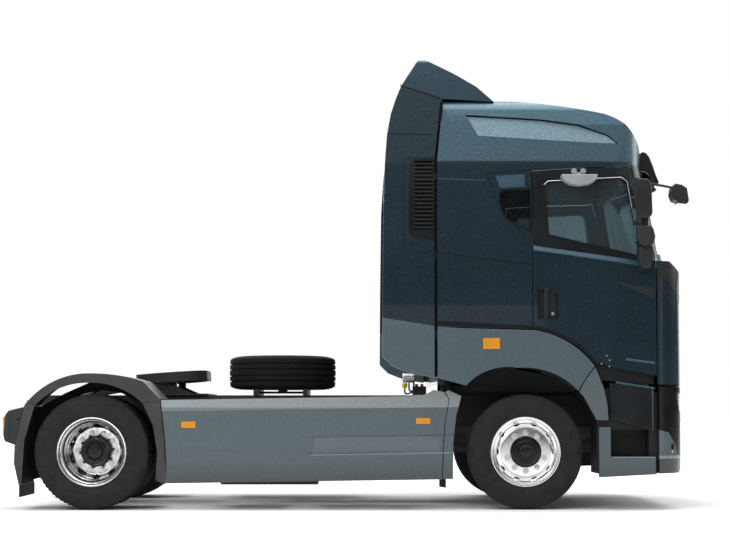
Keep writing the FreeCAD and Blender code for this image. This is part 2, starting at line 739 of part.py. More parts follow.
# Grille: a bowed surround with bars, hung from the cab front and running down into the bumper
GRILLE_FACE = 14
grille_low = 690
grille_outer = cab_block("grille_outer", GRILLE_FACE, 560, 2000)
grille_inner = cab_block("grille_inner", GRILLE_FACE + 40, 500, 2050)
bars = body("grille_bars", FRONT)
surround = [(-640 + SEAT, 1100), (640 - SEAT, 1100), (640 - SEAT, 1700), (560, 1780 - SEAT),
            (-560, 1780 - SEAT), (-640 + SEAT, 1700)]
opening = [(-590, 1140), (590, 1140), (590, 1685), (545, 1730), (-545, 1730), (-590, 1685)]
slab(bars, "YZ", [surround, opening], 1200, 1450)
slab(bars, "YZ", [rect(-500, grille_low, 500, 1101), rect(-455, 735, 455, 1065)], 1200, 1450)
BAR_PITCH = 90
bar = slab(bars, "YZ", [rect(-592, 1190, 592, 1222)], 1200, 1450)
doc.recompute()
rows = bars.newObject("PartDesign::LinearPattern", "GrilleRows")
rows.Originals = [bar]
rows.Direction = (next(item for item in bars.Origin.OriginFeatures
                       if item.Role == "Z_Axis"), [""])
rows.Length = 5 * BAR_PITCH
rows.Occurrences = 6
bars.Tip = rows
slab(bars, "YZ", [rect(-457, 805, 457, 830), rect(-457, 885, 457, 910),
                  rect(-457, 965, 457, 990)], 1200, 1450)
node(layer("grille", grille_outer, grille_inner, bars))


# Roof cap: side, plan and front outlines meet in one hollow moulding
def roof_block(name, inset, low):
    front = COWL_AHEAD - RAKE * (D.roof_seam - COWL)
    rear = -D.cab_back + inset
    side = body(f"{name}_side", FRONT)
    top = D.roof_top - inset
    profile = [(rear, low), (rear, D.roof_seam), (rear + 57, top, -6500),
               (700 - 0.3 * inset, 3495 - inset, -546), (front - inset, D.roof_seam - 0.3 * inset),
               (front - inset, low)]
    slab(side, "XZ", [profile], -HALF, HALF)
    plan = body(f"{name}_plan", FRONT)
    slab(plan, "XY", [plan_loop(front - inset, rear - 20, HALF - inset,
                                D.corner_radius - inset)], low - 20, D.roof_top + 40)
    across = body(f"{name}_across", FRONT)
    half = HALF - inset
    arch = [(-half, low - 10), (half, low - 10), (half, D.roof_seam), (half - 28, 3390),
            (half - 70, 3510, 170), (half - 190, 3630 - inset, 4200),
            (-half + 190, 3630 - inset, 170), (-half + 70, 3510), (-half + 28, 3390),
            (-half, D.roof_seam)]
    slab(across, "YZ", [arch], -1200, 1400)
    return common(name, [side, plan, across])


roof_outer = roof_block("roof_outer", 0, D.roof_seam + SEAT)
roof_inner = roof_block("roof_inner", 40, D.roof_seam - 50)
# A long recess in each side of the cap, deepest along its upper edge
RECESS = [(-521, 3482), (-420, 3285), (104, 3250), (655, 3216), (820, 3214), (728, 3298),
          (471, 3392), (140, 3440)]
recess_tools = [roof_inner]
for side, sign in SIDES:
    low, high = reach(sign, 1100, HALF + 20)
    run = prism(f"recess_run_{side}", RECESS, low, high)
    wedge = prism(f"recess_wedge_{side}", [(sign * 1236, 3200), (sign * 1163, 3480),
                                           (sign * 1163, 3500), (sign * 1300, 3500),
                                           (sign * 1300, 3200)], -700, 1000, "YZ")
    recess_tools.append(common(f"recess_{side}", [run, wedge]))
node(less("roof_cap", roof_outer, joined("roof_hollows", recess_tools)))

# Roof spoiler: a raised wing with side cheeks that stands on the rear of the roof cap
wing = body("roof_spoiler", FRONT)
outline = [(-1087, 3757), (-948, 3975, -60), (-865, 3990), (-623, 3868), (-415, 3745),
           (-264, 3612), (-725, 3640)]
under = [(-1040, 3765), (-931, 3940, -55), (-868, 3952), (-640, 3836), (-436, 3716),
         (-330, 3632), (-725, 3668)]
slab(wing, "XZ", [outline], -1120, 1120)
cut(wing, "XZ", [under], -1085, 1085)
wing_front = body("wing_front", FRONT)
slab(wing_front, "YZ", [[(-1120, 3560), (1120, 3560), (1120, 3820), (1104, 3965, 36),
                         (1072, 3995), (-1072, 3995, 36), (-1104, 3965), (-1120, 3820)]],
     -1300, -100)
wing.Label = "wing_blank"
roof_clear = roof_block("roof_clear", -SEAT, D.roof_seam - 10)
node(less("roof_spoiler", common("wing_curved", [wing, wing_front]), roof_clear))
cab_clear = cab_block("cab_clear", -SEAT, D.cab_split, D.roof_seam + 0.2)

# Side deflectors with their louvres
SLATS = 16
deflectors = []
for side, sign in SIDES:
    plate = body(f"deflector_{side}", FRONT)
    gap_line = -D.cab_back - 26
    edge = [(-1092, 3726), (-1183, 3480), (-1216, 3300), (-1243, 2900), (-1253, 2104),
            (-1258, 1353), (-1234, 1317), (-1173, 1256), (-1078, 1217), (-979, 1184),
            (gap_line, 1156), (gap_line, D.roof_seam), (gap_line + 57, 3612)]
    low, high = reach(sign, HALF - 30, HALF)
    slab(plate, "XZ", [edge], low, high)
    cut(plate, "XZ", [rect(-975, 2455, -840, 3068)], low - 5, high + 5)
    slat = [(sign * (HALF - 26), 2462), (sign * (HALF - 3), 2478),
            (sign * (HALF - 3), 2490), (sign * (HALF - 26), 2474)]
    blade = slab(plate, "YZ", [slat], -978, -837)
    doc.recompute()
    blades = plate.newObject("PartDesign::LinearPattern", f"Blades_{side}")
    blades.Originals = [blade]
    blades.Direction = (next(item for item in plate.Origin.OriginFeatures
                             if item.Role == "Z_Axis"), [""])
    blades.Length = 573
    blades.Occurrences = SLATS
    plate.Tip = blades
    for height in (1500, 2200, 2900):
        low, high = reach(sign, HALF - 90, HALF - 29)
        slab(plate, "XZ", [rect(-1010, height, -D.cab_back - SEAT, height + 60)], low, high)
    deflectors.append(plate)
node(group("side_deflectors", deflectors))

# Sun visor: a curved shade on two stays above the windscreen
visor = body("sun_visor", FRONT)
blade = [(1060, 3100), (1150, 3150), (1222, 2990), (1236, 2940), (1226, 2938),
         (1205, 2985), (1140, 3125), (1060, 3085)]
slab(visor, "XZ", [blade], -980, 980)
visor.Label = "visor_blank"
node(less("sun_visor", visor, joined("visor_clear", [roof_clear, cab_clear])))

# Wheel arches: painted flares with a liner over each front wheel
arches = []
for side, sign in SIDES:
    arch = body(f"arch_{side}", FRONT)
    low, high = reach(sign, HALF - 55, HALF + 5)
    outline = [(-D.cab_back, 1604), (-589, 1588), (DOOR_BACK, 1570, -781), (600, 1252, 897),
               (455, 1039, 647), (-70, 1240, 497), (-519, 1094), (-519, 1083),
               (-D.cab_back, 1150)]
    slab(arch, "XZ", [outline], low, high)
    liner = [(455, 1039, 647), (-70, 1240, 497), (-519, 1094), (-519, 1114, -477),
             (-70, 1250, -667), (449, 1065)]
    low, high = reach(sign, 700, HALF - 54)
    slab(arch, "XZ", [liner], low, high)
    arches.append(arch)
node(group("wheel_arches", arches))

# ---------------------------------------------------------------------------------------------
# Cab interior and mirrors
# ---------------------------------------------------------------------------------------------
SEAT_Y = 640
seats = []
for side, sign in SIDES:
    seat = body(f"seat_{side}", FRONT)
    low, high = reach(sign, SEAT_Y - 170, SEAT_Y + 170)
    slab(seat, "XZ", [rect(-20, FLOOR_TOP + SEAT, 360, 1660)], low, high)
    low, high = reach(sign, SEAT_Y - 250, SEAT_Y + 250)
    outline = [(430, 1650), (450, 1730), (400, 1780), (70, 1750), (-60, 2260), (-50, 2460),
               (-130, 2470), (-190, 2210), (-80, 1650)]
    slab(seat, "XZ", [outline], low, high)
    seats.append(seat)
node(group("seats", seats))

bunk_back = FRONT + cab_rear_wall
bunk_base = box("bunk_base", (bunk_back, -inside + 20, FLOOR_TOP + SEAT),
                (FRONT - 250, inside - 20, 1620))
mattress = box("mattress", (bunk_back + 10, -inside + 30, 1610), (FRONT - 240, inside - 30, 1740))
node(joined("bunk", [bunk_base, mattress]))

dash = body("dash_blank", FRONT)
slab(dash, "XZ", [[(1000, FLOOR_TOP + SEAT), (1330, FLOOR_TOP + SEAT), (1330, 2040),
                   (1190, 2120), (1040, 2130), (930, 2010), (900, 1820), (1000, 1640)]],
     -door_side, door_side)
dash_limit = cab_block("dash_limit", D.cab_wall + 10, 1200, 2300)
node(common("dashboard", [dash, dash_limit]))

HELM_TILT = 28
helm = (700, SEAT_Y, 2030)
helm_ring = body("helm_ring", FRONT + helm[0], helm[1], helm[2], ((0, 1, 0), HELM_TILT))
grip = [(210, -9), (225, -15), (240, -9), (240, 9), (225, 15), (210, 9)]
turn(helm_ring, "XZ", [grip], "V_Axis")
slab(helm_ring, "XY", [rect(-35, -215, 20, 215)], -8, 8)
column = rod("helm_column", (FRONT + helm[0], helm[1], helm[2]),
             (FRONT + helm[0] + 192, helm[1], helm[2] - 131.3), 28)
node(joined("steering_wheel", [helm_ring, column]))

for side, sign in SIDES:
    head = body(f"mirror_head_{side}", FRONT)
    low, high = reach(sign, 1300, 1490)
    outline = [(940, 2518), (1075, 2530, 30), (1105, 2560), (1100, 2850, 40), (1060, 2887),
               (960, 2880, 30), (925, 2850), (925, 2535)]
    slab(head, "XZ", [outline], low, high)
    small = [(965, 2300), (1095, 2285, 35), (1128, 2320), (1128, 2440, 35), (1095, 2478),
             (975, 2470), (962, 2440)]
    slab(head, "XZ", [small], low, high)
    low, high = reach(sign, HALF - 60, 1400)
    slab(head, "XZ", [rect(1010, 2195, 1090, 2250)], low, high)
    low, high = reach(sign, 1360, 1400)
    slab(head, "XZ", [rect(1030, 2200, 1070, 2300)], low, high)
    slab(head, "XZ", [rect(1030, 2470, 1070, 2540)], low, high)
    parts = [less(f"mirror_unit_{side}", head, cab_clear)]
    if side == "right":
        kerb = body("kerb_mirror", FRONT)
        slab(kerb, "XZ", [[(298, 2920), (614, 2920), (600, 2868), (540, 2828, -160),
                           (380, 2828), (312, 2868)]], -1400, -1290)
        slab(kerb, "XZ", [rect(430, 2915, 480, 2945)], -1400, -HALF - SEAT)
        parts.append(kerb)
    node(group(f"mirror_{side}", parts))

front_head = body("front_mirror", FRONT)
slab(front_head, "XZ", [[(1320, 2690), (1434, 2700, 40), (1464, 2760), (1450, 2860, 30),
                         (1400, 2878), (1330, 2860), (1305, 2760)]], -1140, -960)
slab(front_head, "XZ", [[(1040, 2905), (1118, 2900), (1390, 2866), (1390, 2840),
                         (1040, 2868)]], -1110, -1075)
front_head.Label = "front_mirror_blank"
node(less("front_mirror", front_head, cab_clear))

# ---------------------------------------------------------------------------------------------
# Chassis bodywork at the front: steps, bumper, lamps, radiator
# ---------------------------------------------------------------------------------------------
panels, lowers, liners = [], [], []
for side, sign in SIDES:
    panel = body(f"step_panel_{side}", FRONT)
    low, high = reach(sign, HALF - 50, HALF - 5)
    slab(panel, "XZ", [[(724, 1108), (1112, 1056), (1112, 684), (733, 797)]], low, high)
    panels.append(panel)

    lower = body(f"lower_step_{side}", FRONT)
    low, high = reach(sign, HALF - 50, HALF)
    outline = [(633, 285), (633, 722), (733, 722), (733, 466), (1084, 466), (1125, 466),
               (1125, 311)]
    slab(lower, "XZ", [outline], low, high)
    lowers.append(lower)
    limb = body(f"flare_limb_{side}", FRONT)
    outline = [(603, 1244), (672, 1077), (706, 922), (714, 783), (611, 783), (585, 835),
               (499, 991), (462, 1031.6, -890)]
    low, high = reach(sign, HALF - 50, HALF + 5)
    slab(limb, "XZ", [outline], low, high)
    lowers.append(limb)

    liner = body(f"step_liner_{side}", FRONT)
    low, high = reach(sign, 800, HALF - 50 - SEAT)
    outline = [(625, 316), (1150, 316), (1150, 1030), (730, 1060), (650, 1060), (640, 900),
               (625, 760)]
    slab(liner, "XZ", [outline], low, high)
    guard = [(462, 1031.6), (499, 991), (585, 835), (612, 783), (620, 760), (640, 760),
             (640, 783), (620, 790), (593, 840), (507, 997), (470, 1040)]
    slab(liner, "XZ", [guard], low, high)
    low, high = reach(sign, HALF - 220, HALF - 40)
    cut(liner, "XZ", [rect(745, 468, 1075, 700)], low, high)
    liners.append(liner)
node(group("step_panels", panels))
node(group("lower_steps", lowers))
node(group("step_liners", liners))

BUMPER_WALL = 50
bumper_outer = cab_block("bumper_outer", 0, 250, 2200)
bumper_inner = cab_block("bumper_inner", BUMPER_WALL, 200, 2250)
bumper_layer = less("bumper_layer", bumper_outer, bumper_inner)
dark = prism("bumper_dark", [(1158, 698.3), (1158, 1076), (1395, 1076), (1430, 1048),
                             (1430, 473.3), (1344, 477.3), (1315.3, 569), (1246.2, 674.3)],
             -1300, 1300)
BUMPER_OPENING = rect(-520, 540, 520, 1120)
mouth = prism("bumper_mouth", BUMPER_OPENING, 1300, 1450, "YZ")
LAMP_OUTLINE = [(700, 820), (1060, 860), (1130, 960), (1130, 1030), (700, 990)]
lamp_cuts = []
lamp_solids = []
for side, sign in SIDES:
    outline = [(sign * item[0], item[1]) for item in LAMP_OUTLINE]
    lamp_cuts.append(prism(f"lamp_pocket_{side}", outline, 1150, 1450, "YZ"))
    lamp_solids.append(prism(f"lamp_blank_{side}", shrunk(outline), 1150, 1450, "YZ"))
node(less("front_bumper", common("bumper_dark_layer", [bumper_layer, dark]),
          joined("bumper_holes", [mouth, *lamp_cuts])))
lamp_face = cab_block("lamp_face", 6, 700, 2200)
lamp_layer = less("lamp_layer", lamp_face, bumper_inner)
node(common("headlamps", [lamp_layer, joined("lamp_blanks", lamp_solids)]))
grey = prism("bumper_grey", [(1158, 318), (1360, 322), (1402, 420), (1430, 430), (1430, 473),
                             (1344, 477), (1315, 569), (1246, 674), (1158, 698)], -1300, 1300)
node(common("lower_bumper", [bumper_layer, grey]))

core = RAIL_Y - D.rail_flange - SEAT
node(box("radiator", (FRONT + 960, -core, 640), (FRONT + 1060, core, 1130)))

# ---------------------------------------------------------------------------------------------
# Chassis bodywork along the sides: skirts, tanks, marker lamps
# ---------------------------------------------------------------------------------------------
skirts = []
brackets = []
for side, sign in SIDES:
    skirt = body(f"skirt_{side}", REAR)
    low, high = reach(sign, 1150, HALF)
    main = [(607, 958), (2809, 993), (2911, 1006), (2961, 1028), (2989, 1047), (3083, 1028),
            (3122, 964), (3087, 779), (3074, 601), (3059, 267), (668, 233), (660, 420),
            (645, 640)]
    narrow = [(3094, 1030), (3123, 1044), (3232, 993), (3187, 823), (3161, 601), (3157, 271),
              (3066, 271), (3081, 601), (3094, 779), (3129, 966)]
    slab(skirt, "XZ", [main], low, high)
    sweep = body(f"skirt_sweep_{side}", REAR)
    slab(sweep, "XZ", [[(1960, 640), (1930, 560), (1905, 484), (3050, 500), (3050, 600),
                        (3016, 621), (2843, 656)]], low, high + 5 * sign)
    front_strip = body(f"skirt_end_{side}", REAR)
    slab(front_strip, "XZ", [narrow], low, high)
    # Upright section: a plate whose top leans in; the sweep is a ledge that faces up
    inner_face, outer_face = sign * (HALF - D.skirt_thickness), sign * HALF
    lean = sign * 55
    section = [(inner_face, 200), (outer_face, 200), (outer_face, 893),
               (outer_face - lean, 1050), (inner_face - lean, 1050), (inner_face, 893)]
    ledge = [(outer_face + sign, 660), (outer_face + sign, 480), (outer_face - sign * 16, 490)]
    bent = body(f"skirt_section_{side}", REAR)
    slab(bent, "YZ", [section], 500, 3300)
    trough = body(f"skirt_trough_{side}", REAR)
    slab(trough, "YZ", [ledge], 1800, 3100)
    skirts.append(less(f"skirt_main_{side}", common(f"skirt_plate_{side}", [skirt, bent]),
                       common(f"skirt_groove_{side}", [sweep, trough])))
    skirts.append(common(f"skirt_end_plate_{side}", [front_strip, bent]))
    for number_along, ahead in (("first", 860), ("second", 1850), ("third", 2860)):
        low, high = reach(sign, RAIL_Y + SEAT, HALF - D.skirt_thickness - SEAT)
        brackets.append(box(f"skirt_bracket_{number_along}_{side}",
                            (REAR + ahead, low, 853), (REAR + ahead + 50, high, 888)))
    low, high = reach(sign, 700, HALF - D.skirt_thickness - SEAT)
    brackets.append(box(f"end_bracket_{side}", (REAR + 3095, low, 720),
                        (REAR + 3135, high, 760)))
    low, high = reach(sign, RAIL_Y + SEAT, 740)
    brackets.append(box(f"end_post_{side}", (REAR + 3095, low, 752),
                        (REAR + 3135, high, 792)))
node(group("side_skirts", skirts))
node(joined("skirt_brackets", brackets))

tank = body("fuel_tank", REAR)
slab(tank, "YZ", [[(500, 400, 60), (560, 340), (1130, 340, 60), (1190, 400), (1190, 790, 60),
                   (1130, 850), (560, 850, 60), (500, 790)]], 1000, 2300)
silencer = body("silencer", REAR)
slab(silencer, "YZ", [[(-1190, 400, 60), (-1130, 340), (-560, 340, 60), (-500, 400),
                       (-500, 790, 60), (-560, 850), (-1130, 850, 60), (-1190, 790)]], 1950, 2750)
battery = body("battery_box", REAR)
slab(battery, "YZ", [rect(-1190, 420, -520, 850)], 1000, 1750)
hangers = []
for side, sign in SIDES:
    low, high = reach(sign, RAIL_Y + SEAT, 520)
    for ahead in (1100, 1650, 2100):
        if side == "right" and ahead == 1650:
            continue
        hangers.append(box(f"tank_hanger_{side}_{ahead}", (REAR + ahead, low, 760),
                           (REAR + ahead + 60, high, 820)))
node(joined("tanks", [tank, silencer, battery, *hangers]))

lamps = []
for side, sign in SIDES:
    low, high = reach(sign, HALF + SEAT, HALF + 8)
    for name, first, last, bottom, top in (("rear_marker", 786, 911, 716, 771),
                                           ("front_marker", 2835, 2960, 751, 802)):
        lamps.append(box(f"{name}_{side}", (REAR + first, low, bottom),
                         (REAR + last, high, top)))
node(group("marker_lamps", lamps))
cab_lamps = []
for side, sign in SIDES:
    low, high = reach(sign, HALF + 5 + SEAT, HALF + 13)
    cab_lamps.append(box(f"cab_marker_{side}", (REAR + 3422, low, 1404),
                         (REAR + 3569, high, 1500)))
node(group("cab_marker_lamps", cab_lamps))

# ---------------------------------------------------------------------------------------------
# Rear mudguards with flaps, and tail lamps
# ---------------------------------------------------------------------------------------------
GUARD_INNER = 640
guards = []
tails = []
for side, sign in SIDES:
    guard = body(f"guard_{side}", REAR)
    low, high = reach(sign, GUARD_INNER, HALF)
    wall = D.guard_thickness
    outline = [(-626, 217), (-671, 408), (-666, 558), (-586, 909, -690), (-4, 1192, -1500),
               (447, 1124), (597, 969), (637, 608), (647, 227), (567, 258), (577, 508),
               (537, 748), (447, 929, 640), (-35, 1109, 610), (-496, 909), (-581, 608),
               (-606, 217)]
    slab(guard, "XZ", [outline], low, high)
    inner_edge = [(-626 + wall, 190), (-671 + wall, 410), (-666 + wall, 556),
                  (-586 + wall, 905, -682), (-4, 1192 - wall, -1492), (443, 1124 - wall),
                  (597 - wall, 965), (637 - wall, 607), (647 - wall, 200), (500, 200),
                  (500, 700), (300, 900), (0, 1000), (-300, 900), (-520, 600), (-560, 190)]
    low, high = reach(sign, GUARD_INNER - 8, HALF - wall)
    cut(guard, "XZ", [inner_edge], low, high)
    stays = [guard]
    for name, ahead, height in (("rear_stay", -566, 898), ("front_stay", 583, 930)):
        stays.append(rod(f"{name}_{side}", (REAR + ahead, sign * (RAIL_Y + SEAT), height),
                         (REAR + ahead, sign * (HALF - 20), height), 20))
    guards.append(joined(f"mudguard_{side}", stays))
    low, high = reach(sign, GUARD_INNER + 5, HALF - wall - 5)
    guards.append(box(f"flap_{side}", (REAR - 626, low, 112),
                      (REAR - 618, high, 217 - SEAT)))

    tail = body(f"tail_{side}", REAR)
    low, high = reach(sign, 820, HALF - 5)
    slab(tail, "XZ", [[(-664.6, 566), (-756, 598), (-771, 638), (-756, 828), (-726, 869),
                       (-588.5, 900)]], low, high)
    tails.append(tail)
node(group("rear_mudguards", guards))
node(group("tail_lamps", tails))

# ---------------------------------------------------------------------------------------------
# Fifth wheel
# ---------------------------------------------------------------------------------------------
COUPLING_X = REAR + D.coupling_lead
TRUNNION_DROP = 82
TRUNNION_Z = D.coupling_height - TRUNNION_DROP
PLATE_TILT = -4
PLATE = 22
PLATE_DEPTH = 92
TRUNNION_Y = 320

plate = body("fifth_wheel_plate", COUPLING_X, 0, TRUNNION_Z, ((0, 1, 0), PLATE_TILT))
top = TRUNNION_DROP
bore = D.kingpin_bore / 2
outline = [(300, -190), (300, 190), (235, 330, 330), (60, 430), (-150, 438), (-300, 380, 60),
           (-347, 320), (-347, 215), (-95, 27), (-8, bore), (0, bore, -bore), (bore, 0, -bore),
           (0, -bore), (-8, -bore), (-95, -27), (-347, -215), (-347, -320, 60), (-300, -380),
           (-150, -438), (60, -430, 330), (235, -330)]
slab(plate, "XY", [outline], top - PLATE_DEPTH, top)
PLATE_POCKETS = (
    # ribs stay between these hollows of the casting, given for the left half
    [(280, 10), (280, 180), (225, 300), (140, 365), (60, 365), (60, 60), (100, 10)],
    [(45, 72), (45, 285), (-45, 285), (-45, 66)],
    [(45, 326), (45, 416), (-45, 422), (-45, 326)],
    [(-60, 66), (-60, 422), (-150, 422), (-290, 366), (-330, 310), (-330, 235), (-98, 62)],
)
for hollow in PLATE_POCKETS:
    for sign in BOTH:
        cut(plate, "XY", [[(item[0], sign * item[1]) for item in hollow]],
            top - PLATE_DEPTH - 1, top - PLATE)
for sign in BOTH:
    low, high = reach(sign, TRUNNION_Y - 34, TRUNNION_Y + 2)
    slab(plate, "XZ", [[(-45, top - PLATE - 1), (-36, 0, 38), (36, 0), (45, top - PLATE - 1)]],
         low, high)
    cut(plate, "XZ", [("circle", (0, 0), 20.3)], low - 5, high + 7)
node(plate)

base = body("coupling_base", COUPLING_X)
base_top = D.rail_top + 16
slab(base, "XY", [rect(-330, -430, 330, 430)], D.rail_top + SEAT, base_top)
for sign in BOTH:
    low, high = reach(sign, TRUNNION_Y + 8, TRUNNION_Y + 44)
    cheek = [(-190, base_top - 1), (190, base_top - 1), (34, TRUNNION_Z - 50),
             (36, TRUNNION_Z, 37), (-36, TRUNNION_Z), (-34, TRUNNION_Z - 50)]
    slab(base, "XZ", [cheek], low, high)
    low, high = reach(sign, TRUNNION_Y - 38, TRUNNION_Y + 20)
    slab(base, "XZ", [("circle", (0, TRUNNION_Z), 20)], low, high)
node(base)

# ---------------------------------------------------------------------------------------------
# Spare wheel on its carrier, and the air couplings behind the cab
# ---------------------------------------------------------------------------------------------
SPARE_X = REAR + D.spare_lead
SPARE_Z = D.rail_top + 58 + D.tyre_width / 2
flat = ((1, 0, 0), 90)
spare = body("spare_tyre", SPARE_X, 0, SPARE_Z, flat)
turn(spare, "YZ", [tyre_loop()])
node(spare)
spare_rim = body("spare_rim", SPARE_X, 0, SPARE_Z, flat)
turn(spare_rim, "YZ", [front_rim_loop(1, 0)])
node(spare_rim)
carrier = body("spare_carrier", SPARE_X)
carrier_top = SPARE_Z - D.tyre_width / 2 - SEAT
for ahead in (-250, 210):
    slab(carrier, "XY", [rect(ahead, -430, ahead + 40, 430)], D.rail_top + SEAT, carrier_top)
slab(carrier, "XY", [rect(-212, -60, 212, 60)], D.rail_top + 20, D.rail_top + 40)
slab(carrier, "XY", [("circle", (0, 0), 45)], D.rail_top + 39, SPARE_Z + 90)
slab(carrier, "XY", [("circle", (0, 0), 158)], SPARE_Z + 85, SPARE_Z + 96.5)
node(carrier)

COUPLING_Y = -380
air = [box("air_block", (REAR + 2830, COUPLING_Y - 50, D.rail_top + SEAT),
           (REAR + 2960, COUPLING_Y + 50, 1095)),
       rod("air_receiver", (REAR + 2740, COUPLING_Y, 1172), (REAR + 2850, COUPLING_Y, 1172), 45),
       box("receiver_foot", (REAR + 2835, COUPLING_Y - 30, 1090),
           (REAR + 2850, COUPLING_Y + 30, 1170)),
       rod("coupling_left", (REAR + 2760, COUPLING_Y, 1080),
           (REAR + 2760, COUPLING_Y, 1127 - SEAT), 22)]
node(joined("air_couplings", air))

# ---------------------------------------------------------------------------------------------
# Check every object and write the sub-parts
# ---------------------------------------------------------------------------------------------
doc.recompute()
for item in doc.Objects:
    if "Invalid" in item.State or "Error" in item.State:
        raise RuntimeError(f"{item.Name} is {item.State}")
for item in NODES:
    if item.Shape.isNull() or not item.Shape.isValid() or not item.Shape.Solids:
        raise RuntimeError(f"{item.Label} has no valid solid")
os.makedirs("parts", exist_ok=True)
for item in NODES:
    item.Shape.exportStep(f"parts/{item.Label}.step")
print(f"{len(NODES)} sub-parts written")
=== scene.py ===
"""Cab-over tractor unit: finishes, fittings and studio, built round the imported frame."""

import json
import logging
import math
from contextlib import contextmanager
from dataclasses import dataclass, field
from enum import Enum
from typing import Callable, Iterable, Iterator, Sequence

import bmesh
import bpy
from mathutils import Matrix, Vector

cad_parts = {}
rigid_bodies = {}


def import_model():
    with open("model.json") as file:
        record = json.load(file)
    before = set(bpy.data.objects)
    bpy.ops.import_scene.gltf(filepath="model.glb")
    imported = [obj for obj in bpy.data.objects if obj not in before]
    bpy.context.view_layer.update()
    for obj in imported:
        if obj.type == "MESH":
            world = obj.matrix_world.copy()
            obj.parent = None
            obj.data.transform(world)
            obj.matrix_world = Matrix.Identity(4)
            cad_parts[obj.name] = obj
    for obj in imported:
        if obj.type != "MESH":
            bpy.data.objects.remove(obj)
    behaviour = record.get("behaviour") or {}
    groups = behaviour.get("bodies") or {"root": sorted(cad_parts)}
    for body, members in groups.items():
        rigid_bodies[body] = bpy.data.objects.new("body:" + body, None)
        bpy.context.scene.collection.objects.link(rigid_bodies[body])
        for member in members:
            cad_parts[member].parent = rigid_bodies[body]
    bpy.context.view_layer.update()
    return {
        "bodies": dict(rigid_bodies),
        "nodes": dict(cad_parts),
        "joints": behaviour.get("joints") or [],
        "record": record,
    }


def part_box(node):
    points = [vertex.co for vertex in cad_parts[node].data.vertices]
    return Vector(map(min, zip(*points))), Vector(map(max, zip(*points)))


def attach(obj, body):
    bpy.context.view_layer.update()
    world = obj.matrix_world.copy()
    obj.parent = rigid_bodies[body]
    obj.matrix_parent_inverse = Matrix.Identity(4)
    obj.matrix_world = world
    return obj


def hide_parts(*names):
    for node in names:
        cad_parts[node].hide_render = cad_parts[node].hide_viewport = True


LOG = logging.getLogger("tractor_unit")

Point = tuple[float, float, float]
Point2 = tuple[float, float]
Colour = tuple[float, float, float]
Piece = bpy.types.Object
Socket = bpy.types.NodeSocket

WHEEL_HEIGHT = 0.506
FRONT_AXLE = 1.551
REAR_AXLE = -2.249
# painted shade: a panel with a foot darkens towards GROUND_SHADE between these heights
FOOT_SHADE_BAND = (0.24, 0.56)  # heights between which a panel's foot darkens
DUST_BAND = (0.25, 1.3)  # heights between which road dust thins out
GROUND_SHADE = (0.016, 0.016, 0.015)
ROAD_DUST = (0.30, 0.28, 0.25)
RUBBER_BLOOM = (0.030, 0.029, 0.027)
WAVE_THREADS = 6.3  # threads for each unit of the wave texture's scale
PANEL_FACE = 1.2435  # distance from the middle at which pieces meet a painted flank
SEAM_FACE = 1.2425  # the same for seams, a little deeper
RIDGE_EDGE = 0.0022
EDGE_HAIR, EDGE_FINE, EDGE_THIN = 0.001, 0.002, 0.003  # roundings, from sharp to soft
EDGE_TRIM, EDGE_SOFT, EDGE_SHELL = 0.004, 0.006, 0.012
BEYOND = 1.4  # half width of a cutter that reaches past both flanks


def fore(ahead: float) -> float:
    """Turns millimetres ahead of the front axle into the frame's x."""
    return FRONT_AXLE + ahead / 1000


def rear(ahead: float) -> float:
    """Turns millimetres ahead of the rear axle into the frame's x."""
    return REAR_AXLE + ahead / 1000


class Side(Enum):
    """The two sides of the truck; the value is the sign of Y there."""

    LEFT = 1
    RIGHT = -1

    @property
    def word(self) -> str:
        """The side's name as the nodes and bodies use it."""
        return self.name.lower()


class Axis(Enum):
    """The three directions of the frame."""

    X = (1.0, 0.0, 0.0)
    Y = (0.0, 1.0, 0.0)
    Z = (0.0, 0.0, 1.0)


class Slot(Enum):
    """The record's material slots."""

    BODY_PAINT = "body_paint"
    GREY_PAINT = "grey_paint"
    DARK_PLASTIC = "dark_plastic"
    CHASSIS_BLACK = "chassis_black"
    CAST_METAL = "cast_metal"
    WHEEL_METAL = "wheel_metal"
    BRIGHT_METAL = "bright_metal"
    TYRE_RUBBER = "tyre_rubber"
    TINTED_GLASS = "tinted_glass"
    LAMP_GLASS = "lamp_glass"
    AMBER_LAMP = "amber_lamp"
    RED_LAMP = "red_lamp"
    YELLOW_COUPLING = "yellow_coupling"
    SEAT_FABRIC = "seat_fabric"


